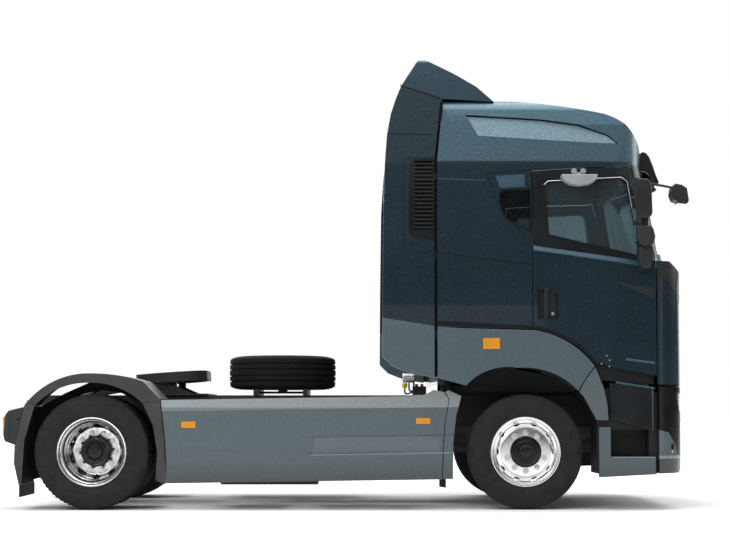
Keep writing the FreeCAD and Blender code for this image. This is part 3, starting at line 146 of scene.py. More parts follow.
# ---- Finishes ----
class Recipe:
    """A material under construction: its node tree and the shader that ends it."""

    def __init__(self, name: str) -> None:
        """Starts an empty node material.

        Args:
            name: The material's name.
        """
        self.material = bpy.data.materials.new(name)
        self.material.use_nodes = True
        self.tree = self.material.node_tree
        self.shader = self.tree.nodes["Principled BSDF"]
        self.coords = self.tree.nodes.new("ShaderNodeTexCoord")

    def node(self, kind: str, **values: object) -> bpy.types.Node:
        """Adds a node and sets its properties or input sockets.

        Args:
            kind: The node's type name, without its ShaderNode prefix.
            **values: Properties, or inputs with underscores for spaces.

        Returns:
            The new node.
        """
        made = self.tree.nodes.new("ShaderNode" + kind)
        for key, value in values.items():
            if hasattr(made, key):
                setattr(made, key, value)
            else:
                made.inputs[key.replace("_", " ")].default_value = value
        return made

    def link(self, source: Socket, target: Socket) -> None:
        """Joins two sockets."""
        self.tree.links.new(source, target)

    def placed(self, kind: str, **values: object) -> bpy.types.Node:
        """Adds a node that reads the object's own coordinates."""
        made = self.node(kind, **values)
        self.link(self.coords.outputs["Object"], made.inputs["Vector"])
        return made

    def feed(self, socket: str, source: Socket) -> None:
        """Drives one of the shader's own sockets."""
        self.link(source, self.shader.inputs[socket])

    def product(self, first: Socket, second: Socket) -> Socket:
        """Multiplies two values."""
        made = self.node("Math", operation="MULTIPLY")
        self.link(first, made.inputs[0])
        self.link(second, made.inputs[1])
        return made.outputs[0]

    def set(self, **values: object) -> None:
        """Sets the shader's own sockets, with underscores for spaces."""
        for key, value in values.items():
            self.shader.inputs[key.replace("_", " ")].default_value = value

    def noise(self, scale: float, detail: float = 4.0, stretch: Point = (1, 1, 1)) -> Socket:
        """Adds a noise on the object's own coordinates.

        Args:
            scale: Features per metre, roughly.
            detail: Octaves of finer noise.
            stretch: Factors on each axis.

        Returns:
            The noise's value socket.
        """
        turned = self.node("Mapping", vector_type="POINT")
        turned.inputs["Scale"].default_value = stretch
        self.link(self.coords.outputs["Object"], turned.inputs["Vector"])
        made = self.node("TexNoise", Scale=scale, Detail=detail)
        self.link(turned.outputs["Vector"], made.inputs["Vector"])
        return made.outputs["Fac"]

    def ramp(self, value: Socket, stops: Sequence[tuple[float, Colour]]) -> Socket:
        """Turns a value into a colour along the given stops.

        Args:
            value: The driving value.
            stops: Places from 0 to 1, each with its colour.

        Returns:
            The colour socket.
        """
        made = self.node("ValToRGB")
        made.color_ramp.elements[0].position = stops[0][0]
        made.color_ramp.elements[0].color = (*stops[0][1], 1)
        made.color_ramp.elements[1].position = stops[-1][0]
        made.color_ramp.elements[1].color = (*stops[-1][1], 1)
        for place, colour in stops[1:-1]:
            made.color_ramp.elements.new(place).color = (*colour, 1)
        self.link(value, made.inputs["Fac"])
        return made.outputs["Color"]

    def span(self, value: Socket, low: float, high: float,
             start: float = 0.3, end: float = 0.7) -> Socket:
        """Maps a value from start..end to low..high.

        Args:
            value: The driving value.
            low: Result at start.
            high: Result at end.
            start: Lower end of the driving range.
            end: Upper end of the driving range.

        Returns:
            The mapped socket.
        """
        made = self.node("MapRange", From_Min=start, From_Max=end, To_Min=low, To_Max=high)
        self.link(value, made.inputs["Value"])
        return made.outputs["Result"]

    def bump(self, height: Socket, distance: float) -> None:
        """Feeds the shader's normal, on top of any bump already there.

        Args:
            height: The height, from 0 to 1.
            distance: Metres that a height of 1 stands for.
        """
        made = self.node("Bump", Distance=distance, Strength=1.0)
        self.link(height, made.inputs["Height"])
        before = self.shader.inputs["Normal"]
        if before.is_linked:
            self.link(before.links[0].from_socket, made.inputs["Normal"])
        self.link(made.outputs["Normal"], before)

    def mix(self, share: Socket, first: object, second: object) -> Socket:
        """Mixes two colours, each a socket or a plain colour.

        Args:
            share: The share of the second colour.
            first: Colour or socket at share 0.
            second: Colour or socket at share 1.

        Returns:
            The mixed colour socket.
        """
        made = self.node("Mix", data_type="RGBA")
        for index, item in ((6, first), (7, second)):
            if isinstance(item, Socket):
                self.link(item, made.inputs[index])
            else:
                made.inputs[index].default_value = (*item, 1)
        self.link(share, made.inputs[0])
        return made.outputs[2]

    def height(self) -> Socket:
        """Returns the place above the ground on the object, in metres."""
        made = self.placed("SeparateXYZ")
        return made.outputs["Z"]


@dataclass(frozen=True)
class Finish:
    """What every finish has: a name, the slot it belongs to and its main colour."""

    name: str
    slot: Slot
    colour: Colour

    def material(self) -> bpy.types.Material:
        """Returns the finish's material, made once."""
        found = bpy.data.materials.get(self.name)
        if found is None:
            recipe = Recipe(self.name)
            self.mixed(recipe)
            found = recipe.material
        return found

    def mixed(self, recipe: Recipe) -> None:
        """Builds the finish's nodes; each kind of finish has its own."""
        raise NotImplementedError

    def shade(self, factor: float) -> Colour:
        """Returns the main colour, lighter or darker by a factor."""
        return tuple(min(1.0, part * factor) for part in self.colour)


@dataclass(frozen=True)
class MetallicPaint(Finish):
    """Clear-coated paint with metallic flake, and road dust low down."""

    flake: float = 0.35
    rough: float = 0.32
    metal: float = 0.55
    orange_peel: float = 0.00003
    dust: float = 0.04
    coat_ior: float = 1.25
    pitch: float = 240.0
    # share of painted shade at the panel's foot, near the ground
    foot: float = 0.0

    def mixed(self, recipe: Recipe) -> None:
        """Mixes base, flake, clear coat, dust and a painted shade that darkens the foot of the
        panel.
        """
        cells = recipe.placed("TexVoronoi", Scale=self.pitch)
        grey = recipe.node("RGBToBW")
        recipe.link(cells.outputs["Color"], grey.inputs["Color"])
        glint = recipe.ramp(grey.outputs["Val"], [
            (0.25, self.shade(1 - self.flake * 0.6)), (0.55, self.shade(1.0)),
            (0.78, self.shade(1 + self.flake)), (0.86, self.shade(1 + self.flake * 4))])
        cloud = recipe.noise(1.7, 3.0)
        deep = recipe.mix(recipe.span(cloud, 0.0, 0.25), glint, self.shade(0.82))
        # painted shade at the foot of the panel, darker towards the ground
        if self.foot:
            deep = recipe.mix(recipe.span(recipe.height(), self.foot, 0.0, *FOOT_SHADE_BAND), deep,
                              GROUND_SHADE)
        road = recipe.noise(9.0, 6.0, (1, 1, 2.5))
        low = recipe.span(recipe.height(), self.dust, 0.0, *DUST_BAND)
        dusty = recipe.product(road, low)
        recipe.feed("Base Color", recipe.mix(dusty, deep, ROAD_DUST))
        recipe.feed("Roughness", recipe.span(cloud, self.rough - 0.04, self.rough + 0.05))
        recipe.set(Metallic=self.metal, Specular_IOR_Level=0.2, Coat_Weight=1.0,
                   Coat_Roughness=0.03, Coat_IOR=self.coat_ior)
        recipe.bump(recipe.noise(260.0, 2.0), self.orange_peel)


@dataclass(frozen=True)
class SatinPaint(Finish):
    """Plain paint over primed steel, satin, with a little grime."""

    rough: float = 0.45
    coat: float = 0.0
    grime: Colour = (0.05, 0.045, 0.04)
    grime_share: float = 0.25
    grain: float = 0.00005

    def mixed(self, recipe: Recipe) -> None:
        """Mixes paint, patchy grime and a fine grain."""
        patch = recipe.noise(7.0, 8.0)
        speck = recipe.noise(120.0, 3.0)
        base = recipe.ramp(speck, [(0.3, self.shade(0.88)), (0.7, self.shade(1.12))])
        recipe.feed("Base Color", recipe.mix(recipe.span(patch, 0.0, self.grime_share, 0.45, 0.7),
                                             base, self.grime))
        recipe.feed("Roughness", recipe.span(patch, self.rough - 0.08, self.rough + 0.15))
        recipe.set(Coat_Weight=self.coat, Coat_Roughness=0.15, Specular_IOR_Level=0.3)
        recipe.bump(recipe.noise(400.0, 3.0), self.grain)


@dataclass(frozen=True)
class MouldedPlastic(Finish):
    """Grained, moulded-in-colour plastic, faded a little in random patches."""

    rough: float = 0.55
    grain: float = 0.00012
    pitch: float = 650.0

    def mixed(self, recipe: Recipe) -> None:
        """Mixes the pebbled grain and the slight fading."""
        cells = recipe.placed("TexVoronoi", Scale=self.pitch, feature="SMOOTH_F1")
        fade = recipe.noise(3.0, 5.0)
        recipe.feed("Base Color",
                    recipe.ramp(fade, [(0.3, self.shade(0.85)), (0.7, self.shade(1.25))]))
        recipe.feed("Roughness", recipe.span(fade, self.rough - 0.06, self.rough + 0.1))
        recipe.set(Specular_IOR_Level=0.22)
        recipe.bump(cells.outputs["Distance"], self.grain)


@dataclass(frozen=True)
class TyreRubber(Finish):
    """Carbon-black rubber with a dusty bloom and fine moulding grain."""

    def mixed(self, recipe: Recipe) -> None:
        """Mixes rubber, bloom and grain."""
        bloom = recipe.noise(14.0, 7.0)
        recipe.feed("Base Color", recipe.ramp(bloom, [(0.3, self.shade(0.8)),
                                                      (0.62, self.shade(1.3)),
                                                      (0.8, RUBBER_BLOOM)]))
        recipe.feed("Roughness", recipe.span(bloom, 0.70, 0.90))
        recipe.set(Specular_IOR_Level=0.12)
        recipe.bump(recipe.noise(500.0, 3.0), 0.00015)


@dataclass(frozen=True)
class BareMetal(Finish):
    """Bare metal: forged, turned, rolled or cast, by its grain and roughness."""

    rough: float = 0.2
    stretch: Point = (1.0, 1.0, 1.0)
    scale: float = 90.0
    grain: float = 0.00004
    metal: float = 1.0

    def mixed(self, recipe: Recipe) -> None:
        """Mixes the metal, its grain and finger-dull patches."""
        lines = recipe.noise(self.scale, 6.0, self.stretch)
        patch = recipe.noise(5.0, 5.0)
        recipe.feed("Base Color",
                    recipe.ramp(lines, [(0.3, self.shade(0.86)), (0.7, self.shade(1.06))]))
        recipe.feed("Roughness", recipe.span(patch, self.rough * 0.8, self.rough * 1.5))
        recipe.set(Metallic=self.metal)
        recipe.bump(lines, self.grain)


@dataclass(frozen=True)
class Pane(Finish):
    """Tinted or clear glass with a faint film of dust."""

    tint: Colour = (0.6, 0.75, 0.76)
    clear: float = 0.92

    def mixed(self, recipe: Recipe) -> None:
        """Mixes clear glass and its film."""
        film = recipe.noise(4.0, 6.0)
        recipe.feed("Base Color", recipe.ramp(film, [(0.3, self.tint), (0.75, self.colour)]))
        recipe.feed("Roughness", recipe.span(film, 0.0, 0.002, 0.75, 0.95))
        recipe.set(Transmission_Weight=self.clear, IOR=1.03, Specular_IOR_Level=0.6,
                   Coat_Weight=1.0, Coat_Roughness=0.01, Coat_IOR=1.35)


@dataclass(frozen=True)
class Lens(Finish):
    """A moulded lamp lens with its fine optical flutes."""

    flutes: float = 160.0
    glow: float = 0.0

    def mixed(self, recipe: Recipe) -> None:
        """Mixes coloured acrylic and its flutes."""
        cells = recipe.placed("TexVoronoi", Scale=self.flutes, distance="CHEBYCHEV")
        recipe.feed("Base Color", recipe.ramp(cells.outputs["Distance"],
                                              [(0.0, self.shade(1.15)), (0.6, self.shade(0.75))]))
        recipe.feed("Roughness", recipe.span(cells.outputs["Distance"], 0.08, 0.2, 0.0, 0.6))
        recipe.set(Coat_Weight=1.0, Coat_Roughness=0.03, Subsurface_Weight=0.15,
                   Emission_Color=(*self.colour, 1), Emission_Strength=self.glow)
        recipe.bump(cells.outputs["Distance"], 0.0008)


@dataclass(frozen=True)
class WovenCloth(Finish):
    """Seat cloth: a crossed weave with a soft sheen."""

    threads: float = 900.0

    def mixed(self, recipe: Recipe) -> None:
        """Mixes two crossed thread waves."""
        waves = []
        for direction in ("Y", "Z"):
            wave = recipe.placed("TexWave", bands_direction=direction, Distortion=0.6, Detail=1.0,
                                 Scale=self.threads / WAVE_THREADS)
            waves.append(wave.outputs["Fac"])
        weave = recipe.product(*waves)
        mottled = recipe.noise(30.0, 5.0)
        first = recipe.ramp(weave, [(0.0, self.shade(0.7)), (1.0, self.shade(1.4))])
        recipe.feed("Base Color",
                    recipe.mix(recipe.span(mottled, 0.0, 0.4), first, self.shade(0.8)))
        recipe.set(Roughness=0.9, Sheen_Weight=0.4, Sheen_Roughness=0.5)
        recipe.bump(weave, 0.0006)


# ---- Modelling, in the way of hand work: primitives, edit-mode operators, applied modifiers ----
def alone(*pieces: Piece) -> None:
    """Selects only the given pieces; the first becomes active."""
    if bpy.context.object and bpy.context.object.mode != "OBJECT":
        bpy.ops.object.mode_set(mode="OBJECT")
    bpy.ops.object.select_all(action="DESELECT")
    for piece in pieces:
        piece.select_set(True)
    bpy.context.view_layer.objects.active = pieces[0]


def settle(piece: Piece, name: str = "") -> Piece:
    """Applies a piece's place, turn and size to its mesh.

    Args:
        piece: The piece.
        name: Its new name, where it gets one.

    Returns:
        The piece.
    """
    alone(piece)
    bpy.ops.object.transform_apply(location=True, rotation=True, scale=True)
    if name:
        titled(piece, name)
    return piece


def block(name: str, low: Point, high: Point) -> Piece:
    """Adds a cuboid between two corners.

    Args:
        name: The piece's name.
        low: Its lowest corner.
        high: Its highest corner.

    Returns:
        The piece.
    """
    centre = [(a + b) / 2 for a, b in zip(low, high)]
    bpy.ops.object.select_all(action="DESELECT")
    bpy.ops.mesh.primitive_cube_add(size=1, location=centre)
    piece = bpy.context.object
    piece.scale = [abs(b - a) for a, b in zip(low, high)]
    return settle(piece, name)


def turned_to(axis: Axis) -> tuple[float, float, float]:
    """Returns the turn that lays a Z primitive along an axis."""
    return {Axis.X: (0, math.pi / 2, 0), Axis.Y: (math.pi / 2, 0, 0), Axis.Z: (0, 0, 0)}[axis]


def drum(name: str, centre: Point, radius: float, length: float, axis: Axis,
         sides: int = 32) -> Piece:
    """Adds a cylinder about a centre.

    Args:
        name: The piece's name.
        centre: Its middle.
        radius: Its radius.
        length: Its length along the axis.
        axis: Its axis.
        sides: Number of side faces.

    Returns:
        The piece.
    """
    bpy.ops.object.select_all(action="DESELECT")
    bpy.ops.mesh.primitive_cylinder_add(vertices=sides, radius=radius, depth=length,
                                        location=centre, rotation=turned_to(axis))
    return settle(bpy.context.object, name)


@contextmanager
def editing(piece: Piece) -> Iterator[None]:
    """Opens a piece in edit mode with all of it selected, and leaves edit mode after."""
    alone(piece)
    bpy.ops.object.mode_set(mode="EDIT")
    bpy.ops.mesh.select_all(action="SELECT")
    yield
    bpy.ops.object.mode_set(mode="OBJECT")


def outline(name: str, corners: Sequence[Point], closed: bool = True) -> Piece:
    """Draws a line of edges by extruding a point from corner to corner.

    Args:
        name: The piece's name.
        corners: The corners in order.
        closed: True closes the line and fills it with a face.

    Returns:
        The piece, in object mode.
    """
    bpy.ops.object.select_all(action="DESELECT")
    bpy.ops.mesh.primitive_plane_add(size=0.001, location=corners[0])
    piece = bpy.context.object
    bpy.ops.object.mode_set(mode="EDIT")
    bpy.ops.mesh.select_mode(type="VERT")
    bpy.ops.mesh.merge(type="CENTER")
    for before, after in zip(corners, corners[1:]):
        step = Vector(after) - Vector(before)
        bpy.ops.mesh.extrude_region_move(TRANSFORM_OT_translate={"value": step})
    if closed:
        bpy.ops.mesh.select_all(action="SELECT")
        bpy.ops.mesh.edge_face_add()
    bpy.ops.object.mode_set(mode="OBJECT")
    return settle(piece, name)


def board(name: str, corners: Sequence[Point], depth: Point) -> Piece:
    """Extrudes a closed outline into a solid.

    Args:
        name: The piece's name.
        corners: The outline's corners.
        depth: The extrusion, as a vector.

    Returns:
        The piece.
    """
    piece = outline(name, corners)
    alone(piece)
    bpy.ops.object.mode_set(mode="EDIT")
    bpy.ops.mesh.select_all(action="SELECT")
    bpy.ops.mesh.extrude_region_move(TRANSFORM_OT_translate={"value": depth})
    return outward(piece)


def outward(piece: Piece) -> Piece:
    """Merges doubles and turns all faces outwards.

    Args:
        piece: The piece.

    Returns:
        The piece, in object mode.
    """
    with editing(piece):
        bpy.ops.mesh.remove_doubles(threshold=0.00002)
        bpy.ops.mesh.normals_make_consistent(inside=False)
    return piece


def spun(name: str, profile: Sequence[Point2], centre: Point, steps: int, sign: int = 1) -> Piece:
    """Spins a profile, closed into a ring section, about the Y axis through a centre.

    Args:
        name: The piece's name.
        profile: Its (offset along Y, radius) pairs.
        centre: A point on the axis.
        steps: Faces round the turn.
        sign: -1 mirrors the profile's offsets.

    Returns:
        The piece.
    """
    corners = [(centre[0], centre[1] + sign * across, centre[2] + radius)
               for across, radius in profile]
    piece = outline(name, corners + corners[:1], closed=False)
    alone(piece)
    bpy.ops.object.mode_set(mode="EDIT")
    bpy.ops.mesh.select_all(action="SELECT")
    bpy.ops.mesh.spin(steps=steps, angle=math.tau, center=centre, axis=(0, 1, 0))
    return outward(piece)


def around(piece: Piece, count: int, centre: Point, phase: float = 0.0) -> Piece:
    """Copies a piece round a Y axis and joins the copies.

    Args:
        piece: The first of them; it is replaced.
        count: How many in all.
        centre: A point on the axis.
        phase: Turn of the first, in radians.

    Returns:
        The joined piece.
    """
    name, copies = piece.name, []
    for index in range(count):
        turn = Matrix.Rotation(phase + math.tau * index / count, 4, "Y")
        place = Matrix.Translation(centre)
        copies.append(twin(piece, place @ turn @ place.inverted()))
    bpy.data.objects.remove(piece)
    return joined(name, copies)


def twin(piece: Piece, move: Matrix) -> Piece:
    """Copies a piece, with its own mesh, and moves the copy.

    Args:
        piece: The piece to copy.
        move: Where the copy goes.

    Returns:
        The copy.
    """
    copy = bpy.data.objects.new(piece.name + "_twin", piece.data.copy())
    bpy.context.scene.collection.objects.link(copy)
    copy.data.transform(move)
    if move.determinant() < 0:
        copy.data.flip_normals()
    return copy


def joined(name: str, pieces: Sequence[Piece]) -> Piece:
    """Joins pieces into one.

    Args:
        name: The joined piece's name.
        pieces: The pieces.

    Returns:
        The joined piece.
    """
    alone(*pieces)
    if len(pieces) > 1:
        bpy.ops.object.join()
    piece = bpy.context.object
    titled(piece, name)
    return piece


def modified(piece: Piece, kind: str, **values: object) -> Piece:
    """Adds a modifier and applies it.

    Args:
        piece: The piece.
        kind: The modifier's type.
        **values: Its properties.

    Returns:
        The piece.
    """
    alone(piece)
    made = piece.modifiers.new(kind.title(), kind)
    for key, value in values.items():
        setattr(made, key, value)
    bpy.ops.object.modifier_apply(modifier=made.name)
    return piece


def carved(piece: Piece, tool: Piece, operation: str = "DIFFERENCE") -> Piece:
    """Cuts a piece with a tool and removes the tool.

    Args:
        piece: The piece.
        tool: A closed solid.
        operation: DIFFERENCE takes the tool's space away; INTERSECT keeps only that.

    Returns:
        The piece.
    """
    modified(piece, "BOOLEAN", operation=operation, object=tool, solver="EXACT")
    bpy.data.objects.remove(tool)
    return piece


def bevelled(piece: Piece, width: float, segments: int = 2, angle: float = 32.0) -> Piece:
    """Rounds a piece's sharp edges.

    Args:
        piece: The piece.
        width: The rounding's width.
        segments: Faces across it.
        angle: Edges sharper than this, in degrees, are rounded.

    Returns:
        The piece.
    """
    return modified(piece, "BEVEL", width=width, segments=segments, limit_method="ANGLE",
                    angle_limit=math.radians(angle), miter_outer="MITER_ARC", profile=0.6)


def smoothed(piece: Piece, angle: float = 32.0) -> Piece:
    """Shades a piece smooth, with edges sharper than an angle kept.

    Args:
        piece: The piece.
        angle: The angle, in degrees.

    Returns:
        The piece.
    """
    alone(piece)
    bpy.ops.object.shade_smooth_by_angle(angle=math.radians(angle), keep_sharp_edges=False)
    return piece


def picked(piece: Piece, test: Callable[[bmesh.types.BMFace], bool]) -> None:
    """Enters edit mode with only the faces that pass a test selected.

    Args:
        piece: The piece.
        test: Says of a face whether it is wanted.
    """
    alone(piece)
    bpy.ops.object.mode_set(mode="EDIT")
    bpy.ops.mesh.select_mode(type="FACE")
    bpy.ops.mesh.select_all(action="DESELECT")
    mesh = bmesh.from_edit_mesh(piece.data)
    for face in mesh.faces:
        face.select_set(test(face))
    bmesh.update_edit_mesh(piece.data)


def tube(name: str, route: Sequence[Point], radius: float, sides: int = 12,
         smooth: bool = True) -> Piece:
    """Runs a round bar or hose along a route.

    Args:
        name: The piece's name.
        route: The points it follows.
        radius: Its radius.
        sides: Faces round it.
        smooth: True bends it smoothly between the points.

    Returns:
        The piece, as a mesh.
    """
    curve = bpy.data.curves.new(name, "CURVE")
    curve.dimensions = "3D"
    curve.bevel_depth = radius
    curve.bevel_resolution = max(1, sides // 4 - 1)
    curve.resolution_u = 6
    curve.use_fill_caps = True
    line = curve.splines.new("NURBS" if smooth else "POLY")
    line.points.add(len(route) - 1)
    for point, place in zip(line.points, route):
        point.co = (*place, 1)
    if smooth:
        line.order_u = 3
        line.use_endpoint_u = True
    piece = bpy.data.objects.new(name, curve)
    bpy.context.scene.collection.objects.link(piece)
    alone(piece)
    bpy.ops.object.convert(target="MESH")
    return outward(bpy.context.object)


def shown(piece: Piece, body: str, finish: Finish,
          replaces: Iterable[str] = (), angle: float = 32.0) -> Piece:
    """Dresses a finished piece and hangs it on its body.

    Args:
        piece: The piece.
        body: The body that it rides on.
        finish: Its finish.
        replaces: CAD nodes that it stands for.
        angle: Edges sharper than this stay sharp, in degrees.

    Returns:
        The piece.
    """
    settle(piece)
    piece.data.materials.clear()
    piece.data.materials.append(finish.material())
    smoothed(piece, angle)
    modified(piece, "WEIGHTED_NORMAL", weight=100, keep_sharp=True)
    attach(piece, body)
    if replaces:
        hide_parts(*replaces)
    LOG.info("%s: %d faces on %s", piece.name, len(piece.data.polygons), body)
    return piece


def remade(node: Piece, name: str, width: float = 0.0, angle: float = 32.0,
           segments: int = 2) -> Piece:
    """Copies a CAD node, with its triangles merged and its sharp edges rounded.

    Args:
        node: The CAD node's object.
        name: The copy's name.
        width: Width of the rounding; 0 leaves the edges sharp.
        angle: Edges sharper than this are rounded, in degrees.
        segments: Faces across the rounding.

    Returns:
        The copy.
    """
    copy = twin(node, Matrix.Identity(4))
    titled(copy, name)
    copy.hide_render = False
    with editing(copy):
        bpy.ops.mesh.remove_doubles(threshold=0.00005)
        bpy.ops.mesh.dissolve_limited(angle_limit=math.radians(0.4), delimit={"NORMAL"})
    if width:
        bevelled(copy, width, segments, angle)
    return copy


# ---- The finishes that this truck wears ----
SLATE = MetallicPaint("slate_blue_metallic", Slot.BODY_PAINT, (0.015, 0.030, 0.041))
# a lighter copy of the slate paint: painted light where the roof cap and the raised seams and
# ridges face the sky
SLATE_PAINTED_LIGHT = MetallicPaint("slate_blue_roof", Slot.BODY_PAINT, (0.045, 0.088, 0.118), flake=0.30,
                           rough=0.40)
# a mid copy of the slate paint for the spoiler: painted light, between the flanks' shade and the
# roof's light
SLATE_SPOILER_PAINTED_LIGHT = MetallicPaint("slate_blue_spoiler", Slot.BODY_PAINT, (0.024, 0.049, 0.068),
                              flake=0.25, rough=0.38)
# a much lighter copy of the slate paint: painted light on the floor of the roof cap's recess
SLATE_LIT = MetallicPaint("slate_blue_recess", Slot.BODY_PAINT, (0.150, 0.230, 0.270), flake=0.30,
                          rough=0.42)
# the grey panels carry a painted shade at their foot
GREY = MetallicPaint("bumper_grey", Slot.GREY_PAINT, (0.108, 0.138, 0.150), flake=0.12, rough=0.42,
                     metal=0.35, foot=0.55)
# a lighter copy of the grey paint: painted light on the skirts' upward-facing chamfer
CHAMFER_LIT = MetallicPaint("skirt_chamfer_grey", Slot.GREY_PAINT, (0.195, 0.220, 0.225),
                            flake=0.12, rough=0.40, metal=0.35)
GREY_ARCH = MetallicPaint("flare_grey", Slot.GREY_PAINT, (0.088, 0.122, 0.140), flake=0.12,
                          rough=0.42, metal=0.35)
# a darker copy of the grey paint: painted shade on the bumper's lower lip and in the skirts' fold
GREY_PAINTED_SHADE = MetallicPaint("bumper_grey_low", Slot.GREY_PAINT, (0.062, 0.072, 0.078), flake=0.12,
                         rough=0.45, metal=0.35)
# a much lighter copy of the grey paint: a painted highlight along creases and lips
CREASE_LIT = MetallicPaint("bumper_crease_grey", Slot.GREY_PAINT, (0.24, 0.28, 0.30), flake=0.12,
                           rough=0.40, metal=0.35)
BLACK_TRIM = MouldedPlastic("black_trim", Slot.DARK_PLASTIC, (0.012, 0.013, 0.014))
GLOSS_BLACK = MouldedPlastic("gloss_black_trim", Slot.DARK_PLASTIC, (0.012, 0.014, 0.016),
                             rough=0.16, grain=0.00001)
BUMPER_BLACK = MouldedPlastic("bumper_black", Slot.DARK_PLASTIC, (0.0030, 0.0042, 0.0062),
                              rough=0.24, grain=0.00001)
SATIN_BLACK = MouldedPlastic("satin_black", Slot.DARK_PLASTIC, (0.024, 0.026, 0.028), rough=0.32,
                             grain=0.00003)
MIRROR_SHELL = MouldedPlastic("mirror_shell_grey", Slot.DARK_PLASTIC, (0.34, 0.36, 0.37),
                              rough=0.35, grain=0.00002)
GUARD_PLASTIC = MouldedPlastic("mudguard_plastic", Slot.DARK_PLASTIC, (0.050, 0.052, 0.054),
                               rough=0.5, grain=0.0002, pitch=420.0)
LAMP_HOUSING = MouldedPlastic("lamp_housing", Slot.DARK_PLASTIC, (0.031, 0.035, 0.038),
                              rough=0.35, grain=0.00005)
SEAL_RUBBER = MouldedPlastic("seal_rubber", Slot.DARK_PLASTIC, (0.004, 0.004, 0.0045), rough=0.8)
CABIN_TRIM = MouldedPlastic("cabin_trim", Slot.DARK_PLASTIC, (0.075, 0.075, 0.078), rough=0.6)
FRAME_BLACK = SatinPaint("frame_black", Slot.CHASSIS_BLACK, (0.018, 0.018, 0.019))
AXLE_BLACK = SatinPaint("axle_black", Slot.CHASSIS_BLACK, (0.022, 0.022, 0.024), rough=0.38)
HUB_BLACK = SatinPaint("hub_black", Slot.CHASSIS_BLACK, (0.006, 0.006, 0.007), rough=0.22)
ENGINE_CAST = SatinPaint("engine_cast", Slot.CAST_METAL, (0.09, 0.09, 0.088), rough=0.6,
                         grain=0.0004)
FORGED_ALLOY = BareMetal("forged_alloy", Slot.WHEEL_METAL, (0.80, 0.80, 0.81), rough=0.17)
NUT_STEEL = BareMetal("nut_steel", Slot.WHEEL_METAL, (0.62, 0.60, 0.57), rough=0.28)
TANK_ALLOY = BareMetal("tank_alloy", Slot.BRIGHT_METAL, (0.62, 0.62, 0.63), rough=0.32,
                       stretch=(1, 1, 14))
LATCH_STEEL = BareMetal("latch_steel", Slot.BRIGHT_METAL, (0.55, 0.55, 0.56), rough=0.3)
MIRROR_GLASS = BareMetal("mirror_silver", Slot.BRIGHT_METAL, (0.72, 0.74, 0.76), rough=0.03,
                         grain=0.0)
TYRE = TyreRubber("sidewall_rubber", Slot.TYRE_RUBBER, (0.0220, 0.0230, 0.0240))
TREAD = TyreRubber("tread_rubber", Slot.TYRE_RUBBER, (0.0080, 0.0082, 0.0085))
CAB_GLASS = Pane("cab_glass", Slot.TINTED_GLASS, (0.24, 0.32, 0.34), tint=(0.28, 0.37, 0.39))
PRIVACY_GLASS = Pane("privacy_glass", Slot.TINTED_GLASS, (0.07, 0.09, 0.10),
                     tint=(0.08, 0.10, 0.11))
LAMP_GLASS = Pane("lamp_cover", Slot.LAMP_GLASS, (0.85, 0.87, 0.88), tint=(0.93, 0.95, 0.96))
AMBER = Lens("amber_lens", Slot.AMBER_LAMP, (0.92, 0.33, 0.015), glow=0.06)
RED = Lens("red_lens", Slot.RED_LAMP, (0.50, 0.012, 0.012), glow=0.02)
YELLOW = MouldedPlastic("coupling_yellow", Slot.YELLOW_COUPLING, (0.75, 0.50, 0.02), rough=0.4)
SEAT_CLOTH = WovenCloth("seat_cloth", Slot.SEAT_FABRIC, (0.050, 0.052, 0.056))
BUNK_CLOTH = WovenCloth("bunk_cloth", Slot.SEAT_FABRIC, (0.085, 0.080, 0.072))

NODE_FINISH: dict[str, Finish] = {
    "body_paint": SLATE, "grey_paint": GREY, "dark_plastic": BLACK_TRIM,
    "chassis_black": FRAME_BLACK, "cast_metal": ENGINE_CAST, "wheel_metal": FORGED_ALLOY,
    "bright_metal": TANK_ALLOY, "tyre_rubber": TYRE, "tinted_glass": CAB_GLASS,
    "lamp_glass": LAMP_GLASS, "amber_lamp": AMBER, "red_lamp": RED, "yellow_coupling": YELLOW,
    "seat_fabric": SEAT_CLOTH,
    "roof_cap": SLATE_PAINTED_LIGHT, "roof_spoiler": SLATE_SPOILER_PAINTED_LIGHT, "wheel_arches": GREY_ARCH,
    "rear_mudguards": GUARD_PLASTIC, "front_axle": AXLE_BLACK, "rear_axle": AXLE_BLACK,
    "dashboard": CABIN_TRIM, "cab_floor": BLACK_TRIM, "bunk": BUNK_CLOTH,
    "step_panels": GLOSS_BLACK, "quarter_windows": PRIVACY_GLASS,
}


# ---- Studio ----
@dataclass
class Lamp:
    """One soft rectangular lamp."""

    name: str
    place: Point
    aim: Point
    size: Point2
    power: float
    colour: Colour = (1.0, 1.0, 1.0)

    def hang(self) -> None:
        """Hangs the lamp and turns it to its aim."""
        light = bpy.data.lights.new(self.name, "AREA")
        light.shape = "RECTANGLE"
        light.size, light.size_y = self.size
        light.energy = self.power
        light.color = self.colour
        lamp = bpy.data.objects.new(self.name, light)
        bpy.context.scene.collection.objects.link(lamp)
        lamp.location = self.place
        lamp.rotation_euler = (Vector(self.aim) - Vector(self.place)).to_track_quat("-Z",
                                                                                    "Y").to_euler()


